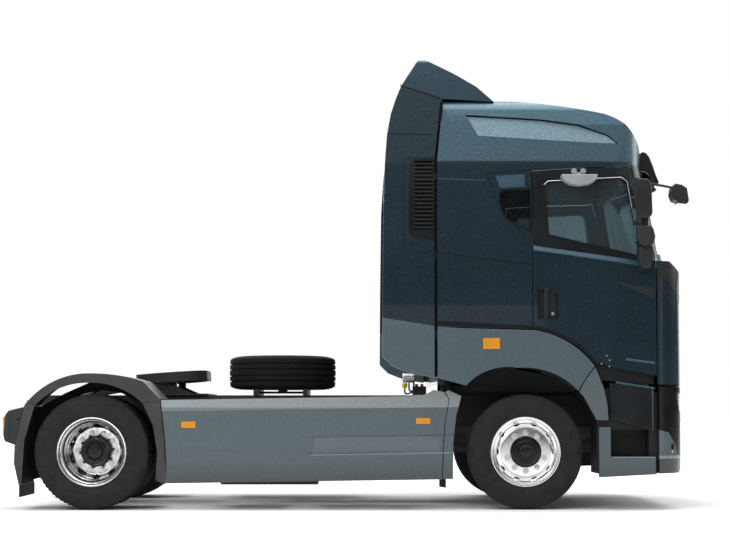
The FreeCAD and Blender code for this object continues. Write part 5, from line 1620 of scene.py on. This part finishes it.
@dataclass
class Deflectors(Assembly):
    """Side deflectors: painted plates with a black louvre in a recess, and a grey foot."""

    edge: Sequence[Point2] = (
        (-1092, 3726), (-1140, 3608), (-1183, 3480), (-1216, 3300), (-1232, 3100), (-1243, 2900),
        (-1253, 2104), (-1258, 1353), (-1253, 1336), (-1234, 1317), (-1173, 1256), (-1078, 1217),
        (-979, 1184), (-801, 1156), (-801, 3060), (-744, 3612))
    recess: Sequence[Point2] = ((-1077, 3040), (-1068, 3070), (-1040, 3089), (-790, 3093),
                                (-790, 2250), (-960, 2250), (-1052, 2268), (-1077, 2335))
    insert: Sequence[Point2] = ((-1022, 3035), (-1012, 3065), (-985, 3081), (-803, 3083),
                                (-803, 2362), (-985, 2388), (-1012, 2404), (-1022, 2430))
    mouth: Sequence[Point2] = ((-973, 3062), (-814, 3062), (-814, 2452), (-973, 2452))
    foot: Sequence[Point2] = ((-1300, 1687), (-780, 1604), (-780, 1100), (-1300, 1100))
    slats: int = 17
    first_slat: float = 2.4560
    slat_pitch: float = 0.0352

    def build(self, frame: dict) -> None:
        """Builds both deflectors."""
        plate = both(self.plate, "deflector_plates")
        lower = twin(plate, Matrix.Identity(4))
        carved(plate, cutout("foot", self.foot, -BEYOND, BEYOND))
        carved(lower, cutout("foot", self.foot, -BEYOND, BEYOND), "INTERSECT")
        titled(lower, "deflector_feet")
        shown(bevelled(plate, EDGE_THIN), "cab", SLATE, ["side_deflectors"])
        shown(bevelled(lower, EDGE_TRIM), "cab", GREY_ARCH)
        shown(both(self.surround, "louvre_frames"), "cab", GLOSS_BLACK, angle=25)
        shown(both(self.back, "louvre_backs"), "cab", SEAL_RUBBER)
        shown(both(self.vanes, "louvre_slats"), "cab", BLACK_TRIM)
        shown(both(self.brackets, "deflector_brackets"), "cab", BLACK_TRIM)
        seams = [((-1216, 3304), (-806, 3297), (-806, 3290), (-1216, 3297)),
                 ((-1100, 3738), (-746, 3622), (-746, 3610), (-1100, 3726))]
        lines = [both(lambda side, c=corners: sided("seam", c, side, SEAM_FACE, 1.2455),
                      "seams") for corners in seams]
        shown(joined("deflector_seams", lines), "cab", SEAL_RUBBER)

    def plate(self, side: Side) -> Piece:
        """Models a plate with its recess and its louvre's mouth."""
        piece = sided("plate", self.edge, side, 1.215, 1.245)
        carved(piece, sided("recess", self.recess, side, 1.230, 1.30))
        return carved(piece, sided("mouth", self.mouth, side, 1.20, 1.30))

    def surround(self, side: Side) -> Piece:
        """Models the black frame that lies in the recess."""
        piece = sided("surround", self.insert, side, 1.228, 1.2400)
        carved(piece, sided("hole", self.mouth, side, 1.20, 1.30))
        return bevelled(piece, EDGE_THIN)

    def back(self, side: Side) -> Piece:
        """Models the box that closes the louvre from behind."""
        wide = ((-983, 3072), (-804, 3072), (-804, 2442), (-983, 2442))
        piece = sided("back", wide, side, 1.150, 1.2140)
        return carved(piece, sided("hollow", self.mouth, side, 1.158, 1.30))

    def vanes(self, side: Side) -> Piece:
        """Models the slats, each a rounded blade that slants outwards."""
        vanes = []
        for index in range(self.slats):
            z = self.first_slat + index * self.slat_pitch
            corners = [(FRONT_AXLE - 0.975, side.value * y, z + up) for y, up in
                       ((1.2165, 0.000), (1.2400, 0.016), (1.2420, 0.021), (1.2395, 0.025),
                        (1.2165, 0.010))]
            vanes.append(board("vane", corners, (0.163, 0, 0)))
        return joined("vanes", vanes)

    def brackets(self, side: Side) -> Piece:
        """Models the three brackets behind a plate."""
        made = []
        for height in (1500, 2200, 2900):
            corners = ((-1010, height), (-777, height), (-777, height + 60), (-1010, height + 60))
            made.append(bevelled(sided("bracket", corners, side, 1.155, 1.216), EDGE_TRIM))
        return joined("brackets", made)


@dataclass
class Visor(Assembly):
    """Sun visor: a curved blade with end cheeks, in front of the screen's top edge."""

    blade: Sequence[Point2] = (
        (1060, 3172), (1081, 3186), (1110, 3177), (1141, 3139), (1171, 3062), (1196, 2984),
        (1227, 2908), (1216, 2903), (1184, 2980), (1160, 3056), (1131, 3130), (1106, 3164),
        (1081, 3172), (1066, 3160))
    cheek: Sequence[Point2] = (
        (1047, 3130), (1081, 3186), (1110, 3177), (1141, 3139), (1171, 3062), (1196, 2984),
        (1227, 2908), (1196, 2883), (1150, 2965), (1110, 3003), (1059, 3015), (1026, 3031),
        (1024, 3079))

    def build(self, frame: dict) -> None:
        """Builds the blade and its cheeks."""
        parts = [cutout("blade", self.blade, -0.985, 0.985)]
        for side in Side:
            parts.append(sided("cheek", self.cheek, side, 0.965, 0.992))
        shown(bevelled(joined("visor_shade", parts), EDGE_TRIM), "cab", GLOSS_BLACK, ["sun_visor"],
              40)


@dataclass
class Mirrors(Assembly):
    """Main and wide-angle mirrors on each door, kerb and front mirrors on the right."""

    main: Sequence[Point2] = ((936, 2871), (1031, 2866), (1056, 2846), (1066, 2790), (1072, 2580),
                              (1066, 2550), (1050, 2536), (974, 2521), (950, 2530), (936, 2560))
    frame_band: Sequence[Point2] = ((905, 2852), (915, 2871), (950, 2873), (975, 2520),
                                    (960, 2476), (944, 2482), (934, 2520))
    wide: Sequence[Point2] = ((940, 2463), (1052, 2463), (1078, 2440), (1095, 2365), (1080, 2302),
                              (985, 2290), (958, 2310), (938, 2370))
    base: Sequence[Point2] = ((976, 2292), (1090, 2292), (1092, 2200), (1060, 2100), (990, 2100),
                              (968, 2190))
    kerb: Sequence[Point2] = ((298, 2920), (614, 2920), (612, 2900), (590, 2862), (545, 2834),
                              (460, 2822), (375, 2832), (325, 2862), (300, 2900))
    front: Sequence[Point2] = ((1322, 2862), (1345, 2880), (1400, 2868), (1446, 2840),
                               (1463, 2730), (1450, 2700), (1400, 2706), (1330, 2735), (1310, 2790))

    def build(self, frame: dict) -> None:
        """Builds the mirrors of both doors and the front one."""
        for side in Side:
            self.door_mirrors(side)
        head = bevelled(cutout("head", self.front, -1.140, -0.960), EDGE_SHELL, 3)
        arm = tube("arm", [(FRONT_AXLE + x, -1.092, z) for x, z in
                           ((1.040, 2.888), (1.150, 2.880), (1.290, 2.855), (1.400, 2.830))],
                   0.011, 12)
        foot = bevelled(cutout("foot", ((1010, 2930), (1110, 2925), (1180, 2820), (1120, 2790),
                                        (1040, 2860)), -1.120, -1.070), EDGE_SOFT)
        shown(joined("front_mirror_shell", [head, arm, foot]), "cab", SATIN_BLACK,
              ["front_mirror"], 40)
        glass = bevelled(cutout("glass", ((1360, 2702), (1440, 2694), (1440, 2699), (1360, 2708)),
                                -1.125, -0.975), EDGE_HAIR)
        shown(glass, "cab", MIRROR_GLASS)
        titled(glass, "front_mirror_glass")

    def door_mirrors(self, side: Side) -> None:
        """Builds the mirrors of one door."""
        word, body = side.word, f"door_body_{side.word}"
        shells = [bevelled(sided("main", self.main, side, 1.305, 1.488), 0.016, 3),
                  bevelled(sided("band", self.frame_band, side, 1.300, 1.490), 0.007, 2),
                  bevelled(sided("wide", self.wide, side, 1.310, 1.485), 0.016, 3),
                  bevelled(sided("base", self.base, side, 1.240, 1.400), EDGE_SHELL, 3),
                  bevelled(sided("stalk", ((1000, 2280), (1050, 2280), (1050, 2540), (1000, 2540)),
                                 side, 1.370, 1.410), 0.008)]
        shown(joined(f"mirror_shells_{word}", shells), body, SATIN_BLACK, [f"mirror_{word}"], 40)
        panes = [bevelled(sided("pane", ((902, 2842), (906, 2845), (938, 2512), (934, 2508)), side,
                                1.318, 1.472), EDGE_HAIR), bevelled(sided("pane", ((932, 2450),
                                                                                   (937, 2452),
                                                                                   (936, 2330),
                                                                                   (931, 2332)),
                                                                          side, 1.325, 1.470),
                                                                    EDGE_HAIR)]
        shown(joined(f"mirror_panes_{word}", panes), body, MIRROR_GLASS)
        if side is Side.RIGHT:
            plate = bevelled(cutout("kerb", self.kerb, -1.400, -1.295), 0.010, 3)
            shown(plate, body, MIRROR_SHELL, angle=40)
            titled(plate, "kerb_mirror_shell")
            stem = [bevelled(cutout("stem", ((432, 2912), (482, 2912), (482, 2948), (432, 2948)),
                                    -1.330, -1.243), EDGE_TRIM)]
            for ahead in (0.418, 0.498):
                stem.append(bevelled(drum("ring", (FRONT_AXLE + ahead, -1.318, 2.958), 0.024, 0.030,
                                          Axis.Y, 20), EDGE_TRIM))
            shown(joined("kerb_mirror_stem", stem), body, MIRROR_SHELL, angle=40)


# ---- Inside of the cab ----
@dataclass(frozen=True)
class Cushion:
    """A stuffed piece of a seat, given about the seat's middle, upright."""

    name: str
    low: Point
    high: Point
    crown: float = 0.10
    channels: Sequence[float] = ()
    back: bool = False

    def build(self, place: Point, lean: float, label: str) -> Piece:
        """Models the cushion.

        Args:
            place: Where the seat's middle stands.
            lean: How far a back leans, in degrees.
            label: Added to the cushion's name.

        Returns:
            The cushion.
        """
        piece = block(f"{self.name}_{label}", self.low, self.high)
        with editing(piece):
            bpy.ops.mesh.subdivide(number_cuts=15)
        axis = 2 if self.back else 0
        step = (self.high[axis] - self.low[axis]) / 16
        if self.channels:
            picked(piece, lambda face: min(
                abs(face.calc_center_median()[axis] - line) for line in self.channels) < step * 0.6)
            bpy.ops.transform.shrink_fatten(value=-0.012)
            bpy.ops.object.mode_set(mode="OBJECT")
        modified(piece, "CAST", factor=self.crown, cast_type="SPHERE")
        modified(piece, "SUBSURF", levels=1, render_levels=1)
        alone(piece)
        if self.back:
            bpy.ops.object.mode_set(mode="EDIT")
            bpy.ops.mesh.select_all(action="SELECT")
            bpy.ops.transform.rotate(value=math.radians(lean), orient_axis="Y",
                                     center_override=(0, 0, self.low[2]))
            bpy.ops.object.mode_set(mode="OBJECT")
        piece.location = place
        return settle(piece)


SEAT_CUSHIONS = (
    Cushion("seat_pad", (-0.10, -0.170, 1.662), (0.40, 0.170, 1.775), 0.09, (0.07, 0.24)),
    Cushion("seat_bolster_in", (-0.08, -0.250, 1.662), (0.39, -0.165, 1.800), 0.05),
    Cushion("seat_bolster_out", (-0.08, 0.165, 1.662), (0.39, 0.250, 1.800), 0.05),
    Cushion("seat_back", (-0.175, -0.170, 1.72), (-0.065, 0.170, 2.27), 0.07,
            (1.86, 2.00, 2.14), True),
    Cushion("seat_wing_in", (-0.170, -0.245, 1.74), (-0.040, -0.165, 2.22), 0.05, (), True),
    Cushion("seat_wing_out", (-0.170, 0.165, 1.74), (-0.040, 0.245, 2.22), 0.05, (), True),
    Cushion("head_rest", (-0.165, -0.140, 2.285), (-0.075, 0.140, 2.455), 0.10, (), True),
)


@dataclass
class CabInside(Assembly):
    """Seats, bunk, dashboard and steering wheel."""

    seat_y: float = 0.64
    lean: float = 7.0
    helm: Point = (FRONT_AXLE + 0.700, 0.640, 2.030)
    helm_tilt: float = 28.0
    helm_radius: float = 0.225

    def build(self, frame: dict) -> None:
        """Builds all of it."""
        for side in Side:
            self.seat(side)
        self.bunk()
        self.steering_wheel()
        dash = remade(frame["nodes"]["dashboard"], "dashboard_panel", 0.035, 28.0, 4)
        shown(dash, "cab", CABIN_TRIM, ["dashboard"])
        hood = cutout("instrument_hood", [(905, 2060), (1010, 2155), (1130, 2150), (1130, 2090)],
                      0.42, 0.86)
        shown(bevelled(hood, 0.02, 3), "cab", BLACK_TRIM)

    def seat(self, side: Side) -> None:
        """Builds one seat on its air-sprung foot."""
        place = (FRONT_AXLE, side.value * self.seat_y, 0)
        for cushion in SEAT_CUSHIONS:
            piece = cushion.build(place, -self.lean, side.word)
            piece = shown(piece, "cab", SEAT_CLOTH, ["seats"], 60)
        x, y = place[:2]
        foot = [block("seat_foot", (x - 0.02, y - 0.17, 1.31), (x + 0.36, y + 0.17, 1.36)),
                block("seat_frame", (x - 0.08, y - 0.23, 1.60), (x + 0.40, y + 0.23, 1.665)),
                block("back_shell", (x - 0.205, y - 0.21, 1.74), (x - 0.172, y + 0.21, 2.20))]
        for level in range(4):
            low = 1.36 + level * 0.06
            foot.append(block("bellows", (x + 0.01, y - 0.15, low),
                              (x + 0.33, y + 0.15, low + 0.055)))
        foot.append(tube("head_post", [(x - 0.15, y - 0.06, 2.20), (x - 0.17, y - 0.06, 2.33)],
                         0.008))
        foot.append(tube("head_post", [(x - 0.15, y + 0.06, 2.20), (x - 0.17, y + 0.06, 2.33)],
                         0.008))
        base = bevelled(joined(f"seat_base_{side.word}", foot), EDGE_SHELL, 2)
        shown(base, "cab", CABIN_TRIM)

    def bunk(self) -> None:
        """Builds the bunk's box and its mattress."""
        back = FRONT_AXLE - 0.705
        box = block("bunk_box", (back, -1.10, 1.31), (FRONT_AXLE - 0.25, 1.10, 1.622))
        shown(bevelled(box, 0.015, 2), "cab", CABIN_TRIM, ["bunk"])
        mattress = Cushion("bunk_mattress", (back + 0.01, -1.09, 1.625),
                           (FRONT_AXLE - 0.245, 1.09, 1.735), 0.04)
        piece = shown(mattress.build((0, 0, 0), 0, "pad"), "cab", BUNK_CLOTH, ["bunk"], 60)

    def steering_wheel(self) -> None:
        """Builds the steering wheel, its column and its stalks."""
        bpy.ops.object.select_all(action="DESELECT")
        bpy.ops.mesh.primitive_torus_add(major_radius=self.helm_radius, minor_radius=0.0145,
                                         major_segments=48, minor_segments=12)
        parts = [settle(bpy.context.object, "wheel_rim")]
        hub = bevelled(drum("wheel_hub", (0, 0, -0.012), 0.075, 0.05, Axis.Z, 24), EDGE_SHELL, 3)
        parts.append(hub)
        for angle in (math.pi / 2, -math.pi / 2, math.pi):
            spoke = bevelled(block("wheel_spoke", (0.06, -0.020, -0.016), (0.222, 0.020, 0.004)),
                             EDGE_SOFT, 2)
            spoke.data.transform(Matrix.Rotation(angle, 4, "Z"))
            parts.append(spoke)
        parts.append(drum("wheel_column", (0, 0, -0.17), 0.035, 0.29, Axis.Z, 20))
        parts.append(tube("stalk", [(0, -0.03, -0.06), (0, -0.12, -0.05), (0, -0.20, -0.045)],
                          0.009))
        parts.append(tube("stalk", [(0, 0.03, -0.06), (0, 0.12, -0.05), (0, 0.20, -0.045)], 0.009))
        wheel = joined("steering_wheel_rim", parts)
        wheel.rotation_euler = (0, -math.radians(self.helm_tilt), 0)
        wheel.location = self.helm
        shown(wheel, "cab", BLACK_TRIM, ["steering_wheel"])


# ---- Rear of the chassis ----
def aft(corners: Iterable[Point2]) -> list[Point2]:
    """Turns millimetres ahead of the rear axle into millimetres ahead of the front one."""
    return [(ahead - 3800, up) for ahead, up in corners]


def flank_bolts(spots: Iterable[Point2], side: Side, depth: float, radius: float, faces: int,
                edge: float) -> list[Piece]:
    """Models bolt heads on one flank.

    Args:
        spots: Each bolt's x in metres and its millimetres above the ground.
        side: The flank.
        depth: The heads' distance from the truck's middle.
        radius: A head's radius.
        faces: Faces round a head.
        edge: The rounding of its rim.

    Returns:
        The heads.
    """
    return [bevelled(drum("bolt", (x, side.value * depth, up / 1000), radius, 0.005, Axis.Y,
                          faces), edge) for x, up in spots]


@dataclass
class RearFittings(Assembly):
    """Tail lamps, mudguard insides, seams and bolts, and air couplings."""

    splash_rear: Sequence[Point2] = (
        (-628, 240), (-664, 420), (-660, 560), (-580, 900), (-350, 1025), (0, 1180), (440, 1115),
        (590, 965), (630, 600), (640, 250), (504, 276), (547, 411), (547, 601), (482, 778),
        (350, 933), (170, 1026), (0, 1056), (-170, 1026), (-350, 933), (-482, 778), (-547, 601),
        (-547, 411), (-504, 276))
    lamp_side: Sequence[Point2] = ((-664, 566), (-754, 598), (-768, 638), (-754, 828),
                                   (-725, 867), (-592, 899))

    def build(self, frame: dict) -> None:
        """Builds all of it."""
        self.guards()
        self.lamps()
        self.couplings()

    def guards(self) -> None:
        """Builds the guards' inner walls, seams and bolts."""
        shown(both(lambda side: sided("wall", aft(self.splash_rear), side, 0.642, 0.650),
                   "splash_walls"), "chassis", BLACK_TRIM)
        seams = (((-584, 930), (-484, 926), (-484, 930), (-583, 934)),
                 ((452, 934), (604, 948), (603, 952), (451, 938)))
        shown(both(lambda side: joined("seams", [
            sided("seam", aft(corners), side, 1.2448, 1.2456) for corners in seams]),
                   "mudguard_seams"), "chassis", SEAL_RUBBER)
        spots = [(rear(ahead), up) for ahead, up in
                 ((470, 1038), (510, 1008), (-556, 952), (-528, 962))]
        shown(both(lambda side: joined("bolts", flank_bolts(spots, side, depth=1.2465, radius=0.007,
                                                            faces=6, edge=EDGE_HAIR)),
                   "mudguard_bolts"), "chassis", AXLE_BLACK)

    def lamps(self) -> None:
        """Builds the tail lamps: dark housings with lenses on the back."""
        def housing(side: Side) -> Piece:
            body = sided("housing", aft(self.lamp_side), side, 0.822, 1.238)
            return bevelled(body, 0.010, 3, 20)

        shown(both(housing, "tail_lamp_housings"), "chassis", LAMP_HOUSING, ["tail_lamps"])

        def ribs(side: Side) -> Piece:
            sign = side.value
            x = REAR_AXLE - 0.711
            return joined("ribs", [
                block("seam", (x - 0.002, sign * 1.2375, 0.600), (x + 0.002, sign * 1.2392, 0.865)),
                drum("plug", (REAR_AXLE - 0.640, sign * 1.2378, 0.790), 0.010, 0.004, Axis.Y, 12)])

        shown(both(ribs, "tail_lamp_seams"), "chassis", SEAL_RUBBER)
        lenses = (("tail_lens", RED, 0.835, 0.955, 0.655, 0.815),
                  ("brake_lens", RED, 0.960, 1.050, 0.655, 0.815),
                  ("reverse_lens", LAMP_GLASS, 1.055, 1.120, 0.655, 0.815),
                  ("turn_lens", AMBER, 1.125, 1.225, 0.655, 0.815))
        for name, finish, near, far, low, high in lenses:
            def lens(side: Side) -> Piece:
                sign, x = side.value, REAR_AXLE - 0.764
                made = block("lens", (x - 0.010, sign * near, low), (x + 0.004, sign * far, high))
                return bevelled(made, EDGE_SOFT, 3)

            shown(both(lens, name + "es"), "chassis", finish)

    def couplings(self) -> None:
        """Builds the air receiver, its valve block, a coupling and short hoses."""
        x, y = REAR_AXLE, -0.38
        tank = bevelled(drum("receiver", (x + 2.795, y, 1.172), 0.044, 0.110, Axis.X, 32),
                        EDGE_SHELL, 3)
        bands = [drum("band", (x + at, y, 1.172), 0.046, 0.008, Axis.X, 32) for at in (2.770,
                                                                                       2.822)]
        shown(joined("air_receiver", [tank, *bands]), "chassis", TANK_ALLOY, ["air_couplings"])
        valves = [bevelled(block("valve", (x + 2.832, y - 0.05, 1.012),
                                 (x + 2.958, y + 0.05, 1.093)), EDGE_SOFT), bevelled(block("foot",
                                                                                       (x + 2.836,
                                                                                        y - 0.03,
                                                                                        1.09),
                                                                                       (x + 2.852,
                                                                                        y + 0.03,
                                                                                        1.17)),
                                                                                 EDGE_THIN),
                  bevelled(drum("port", (x + 2.87, y, 1.10), 0.014, 0.03, Axis.Z, 12), EDGE_FINE),
                  bevelled(drum("port", (x + 2.92, y, 1.10), 0.014, 0.03, Axis.Z, 12), EDGE_FINE)]
        shown(joined("air_valves", valves), "chassis", FRAME_BLACK)
        head = [bevelled(drum("head", (x + 2.760, y, 1.103), 0.024, 0.040, Axis.Z, 20), EDGE_SOFT,
                         3), bevelled(drum("collar", (x + 2.760, y, 1.082), 0.015, 0.016, Axis.Z,
                                           16), EDGE_THIN)]
        shown(joined("yellow_coupling", head), "chassis", YELLOW)
        top = 1.070
        hoses = [tube("hose", [(x + 2.760, y + 0.000, top), (x + 2.758, y - 0.01, 1.04),
                               (x + 2.775, y - 0.02, 1.015), (x + 2.835, y - 0.02, 1.040)], 0.008),
                 tube("hose", [(x + 2.800, y, 1.125), (x + 2.800, y + 0.01, 1.08),
                               (x + 2.805, y + 0.02, 1.045), (x + 2.835, y + 0.02, 1.050)], 0.008)]
        shown(joined("coupling_hoses", hoses), "chassis", SEAL_RUBBER, angle=60)


# ---- Marks that follow curved panels ----
@dataclass(frozen=True)
class Skin:
    """A seam or patch that follows a CAD panel's surface, inside side-view outlines."""

    name: str
    node: str
    body: str
    finish: Finish
    outlines: Sequence[Sequence[Point2]]
    low: float = 0.85
    high: float = 1.40
    lift: float = 0.0008

    def build(self, frame: dict) -> None:
        """Cuts the marks of both sides out of a slightly grown copy of the panel."""
        copy = remade(frame["nodes"][self.node], self.name)
        modified(copy, "DISPLACE", strength=self.lift, mid_level=0.0)
        tools = [cutout("mark", corners, side.value * self.low, side.value * self.high)
                 for corners in self.outlines for side in Side]
        carved(copy, joined("marks", tools), "INTERSECT")
        shown(copy, self.body, self.finish)


def stripe(middle: Sequence[Point2], width: float) -> list[Point2]:
    """Widens a side-view line into a narrow outline.

    Args:
        middle: The line, in millimetres.
        width: The outline's width, in millimetres.

    Returns:
        The outline.
    """
    upper, lower = [], []
    for index, here in enumerate(middle):
        before, after = middle[max(index - 1, 0)], middle[min(index + 1, len(middle) - 1)]
        run = Vector((after[0] - before[0], after[1] - before[1])).normalized() * (width / 2)
        upper.append((here[0] - run.y, here[1] + run.x))
        lower.append((here[0] + run.y, here[1] - run.x))
    return upper + lower[::-1]


CORNER_TOP = ((1172, 2040), (1262, 1985), (1322, 1900), (1350, 1818))
CORNER_LINE = ((1192, 1848), (1290, 1786), (1318, 1742), (1322, 1440))


def oval(centre: Point2, wide: float, high: float) -> list[Point2]:
    """Lists a side-view ellipse's corners, in millimetres."""
    turns = [math.tau * step / 14 for step in range(14)]
    return [(centre[0] + wide * math.cos(turn), centre[1] + high * math.sin(turn))
            for turn in turns]


ROOF_RECESS = ((-508, 3468), (-413, 3291), (104, 3256), (655, 3222), (806, 3219), (722, 3292),
               (468, 3384), (140, 3432))
# the line under which the recess's painted shadow lies
RECESS_EDGE = ((-517, 3478), (140, 3437), (470, 3389), (726, 3296), (814, 3219))


def recess_plate(corners: Sequence[Point2], side: Side, lift: float) -> Piece:
    """Makes a thin plate on the sloping floor of the roof cap's recess; such plates carry the
    recess's painted light and the painted shadow under its top edge.
    """
    points = [(fore(ahead), side.value * (1.236 - (up / 1000 - 3.2) * 0.2607 + lift),
               up / 1000) for ahead, up in corners]
    return board("plate", points, (0, side.value * 0.001, 0))


@dataclass
class SurfaceMarks(Assembly):
    """Seams and patches, some of them painted highlight and painted shade, on the cab's corners,
    roof recess, skirts and bumper.
    """

    skins: Sequence[Skin] = (
        Skin("cab_corner_cowls", "cab_shell", "cab", SATIN_BLACK, (
            (*CORNER_TOP, (1500, 1818), (1500, 2300), (1172, 2300)),), 0.80),
        Skin("cab_corner_seams", "cab_shell", "cab", SEAL_RUBBER, (
            stripe(CORNER_TOP, 9), stripe(CORNER_LINE, 7)), 0.80, lift=0.0014),
        # a painted light on the skirt's top chamfer
        Skin("skirt_chamfers", "side_skirts", "chassis", CHAMFER_LIT, (
            ((-3210, 861), (-560, 898), (-560, 1070), (-3210, 1070)),), 1.0),
        # a painted highlight along the skirt's crease
        Skin("skirt_creases", "side_skirts", "chassis", CREASE_LIT, (
            stripe(((-1888, 479), (-946, 495), (-575, 501)), 8),), 1.0, lift=0.0012),
        # a painted shade along the skirt's fold
        Skin("skirt_folds", "side_skirts", "chassis", GREY_PAINTED_SHADE, (
            stripe(((-1888, 634), (-946, 650), (-575, 656)), 7),), 1.0, lift=0.0012),
        # a painted highlight along the bumper's crease
        Skin("bumper_creases", "lower_bumper", "chassis", CREASE_LIT, (
            ((1150, 474), (1500, 474), (1500, 447), (1150, 447)),), 0.30, lift=0.0012),
        # a painted shade on the bumper's lower lip, which leans inwards
        Skin("bumper_lips", "lower_bumper", "chassis", GREY_PAINTED_SHADE, (
            ((1150, 445), (1500, 445), (1500, 300), (1150, 300)),), 0.30),
        Skin("bumper_sensors", "lower_bumper", "chassis", SEAL_RUBBER, (
            oval((1286, 553), 17, 27),), 0.80, lift=0.0014),
        Skin("bumper_sensor_studs", "lower_bumper", "chassis", LATCH_STEEL, (
            oval((1284, 508), 9, 11),), 0.80, lift=0.0020),
    )

    def build(self, frame: dict) -> None:
        """Builds every mark, and the small bolts of the door hinges."""
        for skin in self.skins:
            skin.build(frame)
        # the recess floor is covered with a painted light
        shown(both(lambda side: recess_plate(ROOF_RECESS, side, 0.0008), "roof_recess_faces"),
              "cab", SLATE_LIT)
        # a dark strip that paints the shadow under the recess's top edge
        shown(both(lambda side: recess_plate(stripe(RECESS_EDGE, 15), side, 0.0020),
                   "roof_recess_grooves"), "cab", SEAL_RUBBER)
        for side in Side:
            spots = [(fore(ahead), up) for ahead, up in
                     ((703, 1346), (730, 1306), (656, 1276), (725, 1253))]
            bolts = flank_bolts(spots, side, depth=1.2475, radius=0.0065, faces=12, edge=EDGE_FINE)
            shown(joined(f"hinge_bolts_{side.word}", bolts), f"door_body_{side.word}",
                  LATCH_STEEL)
        # a real raised edge, coloured with the lighter slate copy as a painted highlight
        edge = both(lambda side: bevelled(sided("edge", ((781, 1124), (1119, 1071), (1119, 1052),
                                                         (781, 1104)), side, 1.2400, 1.2485), 0.007,
                                          3), "step_panel_edges")
        shown(edge, "chassis", SLATE_PAINTED_LIGHT)


# ---- Seals and backings behind the gaps of the front ----
@dataclass
class FrontFillings(Assembly):
    """Seals, an undertray and backings that close the sight lines through the front."""

    corner: Point2 = (1118, 945)
    corner_radius: float = 300
    rear_end: float = 1162
    seals: Sequence[tuple[str, float, float, float]] = (
        ("cab_front_seal", 62, 1.062, 1.107), ("cab_front_lip", 24, 1.0815, 1.102))

    def arc(self, inset: float) -> list[Point2]:
        """Follows the cab's front corner in plan, from the side round to the front."""
        radius = self.corner_radius - inset
        turns = [math.radians(90 - 15 * step) for step in range(7)]
        return [(self.rear_end, self.corner[1] + radius)] + [
            (self.corner[0] + radius * math.cos(turn), self.corner[1] + radius * math.sin(turn))
            for turn in turns if radius * math.cos(turn) > self.rear_end - self.corner[0]]

    def build(self, frame: dict) -> None:
        """Builds the seals and backings."""
        for name, inset, low, high in self.seals:
            half = self.arc(inset)
            inner = self.arc(inset + 8)
            plan = [(ahead, out * sign) for arc, sign in (
                (half, 1), (half[::-1], -1), (inner, -1), (inner[::-1], 1))
                for ahead, out in arc]
            seal = board(name, [(fore(ahead), out / 1000, low) for ahead, out in plan],
                         (0, 0, high - low))
            shown(seal, "cab", SEAL_RUBBER)
        backs = both(lambda side: sided("backing",
                                        ((1118, 322), (1200, 322), (1200, 640), (1118, 640)), side,
                                        1.180, 1.188), "step_seam_backings")
        shown(backs, "chassis", SEAL_RUBBER)
        ahead = FRONT_AXLE
        tray = joined("bumper_undertray", [
            block("floor", (ahead + 0.900, -0.560, 0.478), (ahead + 1.300, 0.560, 0.484)),
            block("wall", (ahead + 0.900, -0.560, 0.478), (ahead + 0.906, 0.560, 0.600))])
        shown(bevelled(tray, EDGE_HAIR), "chassis", BLACK_TRIM)
        # a real lip under the step recess, coloured as a painted highlight
        lips = both(lambda side: bevelled(sided("lip",
                                                ((748, 464), (1119, 464), (1119, 455), (748, 455)),
                                                side, 1.2490, 1.2520), EDGE_FINE),
                    "step_recess_lips")
        shown(lips, "chassis", CREASE_LIT)
        posts = both(lambda side: bevelled(sided("post", ((1093, 1054), (1110, 1051), (1110, 690),
                                                          (1095, 692)), side, 1.2385, SEAM_FACE),
                                           EDGE_FINE), "step_panel_posts")
        shown(posts, "chassis", GUARD_PLASTIC)
        feet = both(lambda side: bevelled(sided("foot", ((-2665, 222), (-1820, 222), (-1812, 250),
                                                         (-2673, 250)), side, 1.140, 1.238),
                                          EDGE_TRIM), "skirt_feet")
        shown(feet, "chassis", BLACK_TRIM)
        flaps = both(lambda side: bevelled(sided("flap", ((-760, 200), (-700, 190), (-700, 520),
                                                          (-760, 520)), side, 1.150, 1.156),
                                           EDGE_FINE), "front_flap_edges")
        shown(flaps, "chassis", BLACK_TRIM)


def assemblies() -> list[Assembly]:
    """Returns every sub-assembly, in the order they are built."""
    made: list[Assembly] = [Bodywork(), CabTrim(), Deflectors(), Visor(), Mirrors(),
                            SpareWheel(), CabInside(), RearFittings(), SurfaceMarks(),
                            FrontFillings()]
    for side in Side:
        made.append(FrontWheel(side, (FRONT_AXLE, side.value * 1.030, WHEEL_HEIGHT),
                               f"wheel_front_{side.word}"))
        made.append(RearWheel(side, (REAR_AXLE, side.value * 0.915, WHEEL_HEIGHT),
                              f"wheel_rear_{side.word}"))
    return made


# ---- Putting it together ----
def dress_nodes(frame: dict) -> None:
    """Gives every CAD node the finish of its name or slot.
    """
    slots = {part["node"]: part["material_slot"] for part in frame["record"]["subparts"]}
    for name, node in frame["nodes"].items():
        finish = NODE_FINISH.get(name) or NODE_FINISH[slots[name]]
        node.data.materials.clear()
        node.data.materials.append(finish.material())


def main() -> None:
    """Loads the frame, dresses it, adds every fitting and sets the studio."""
    logging.basicConfig(level=logging.INFO, format="%(name)s %(message)s")
    bpy.ops.object.select_all(action="SELECT")
    bpy.ops.object.delete()
    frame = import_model()
    Studio().build()
    dress_nodes(frame)
    for assembly in assemblies():
        assembly.build(frame)
        LOG.info("%s built", type(assembly).__name__)
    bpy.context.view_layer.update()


if __name__ == "__main__":
    main()
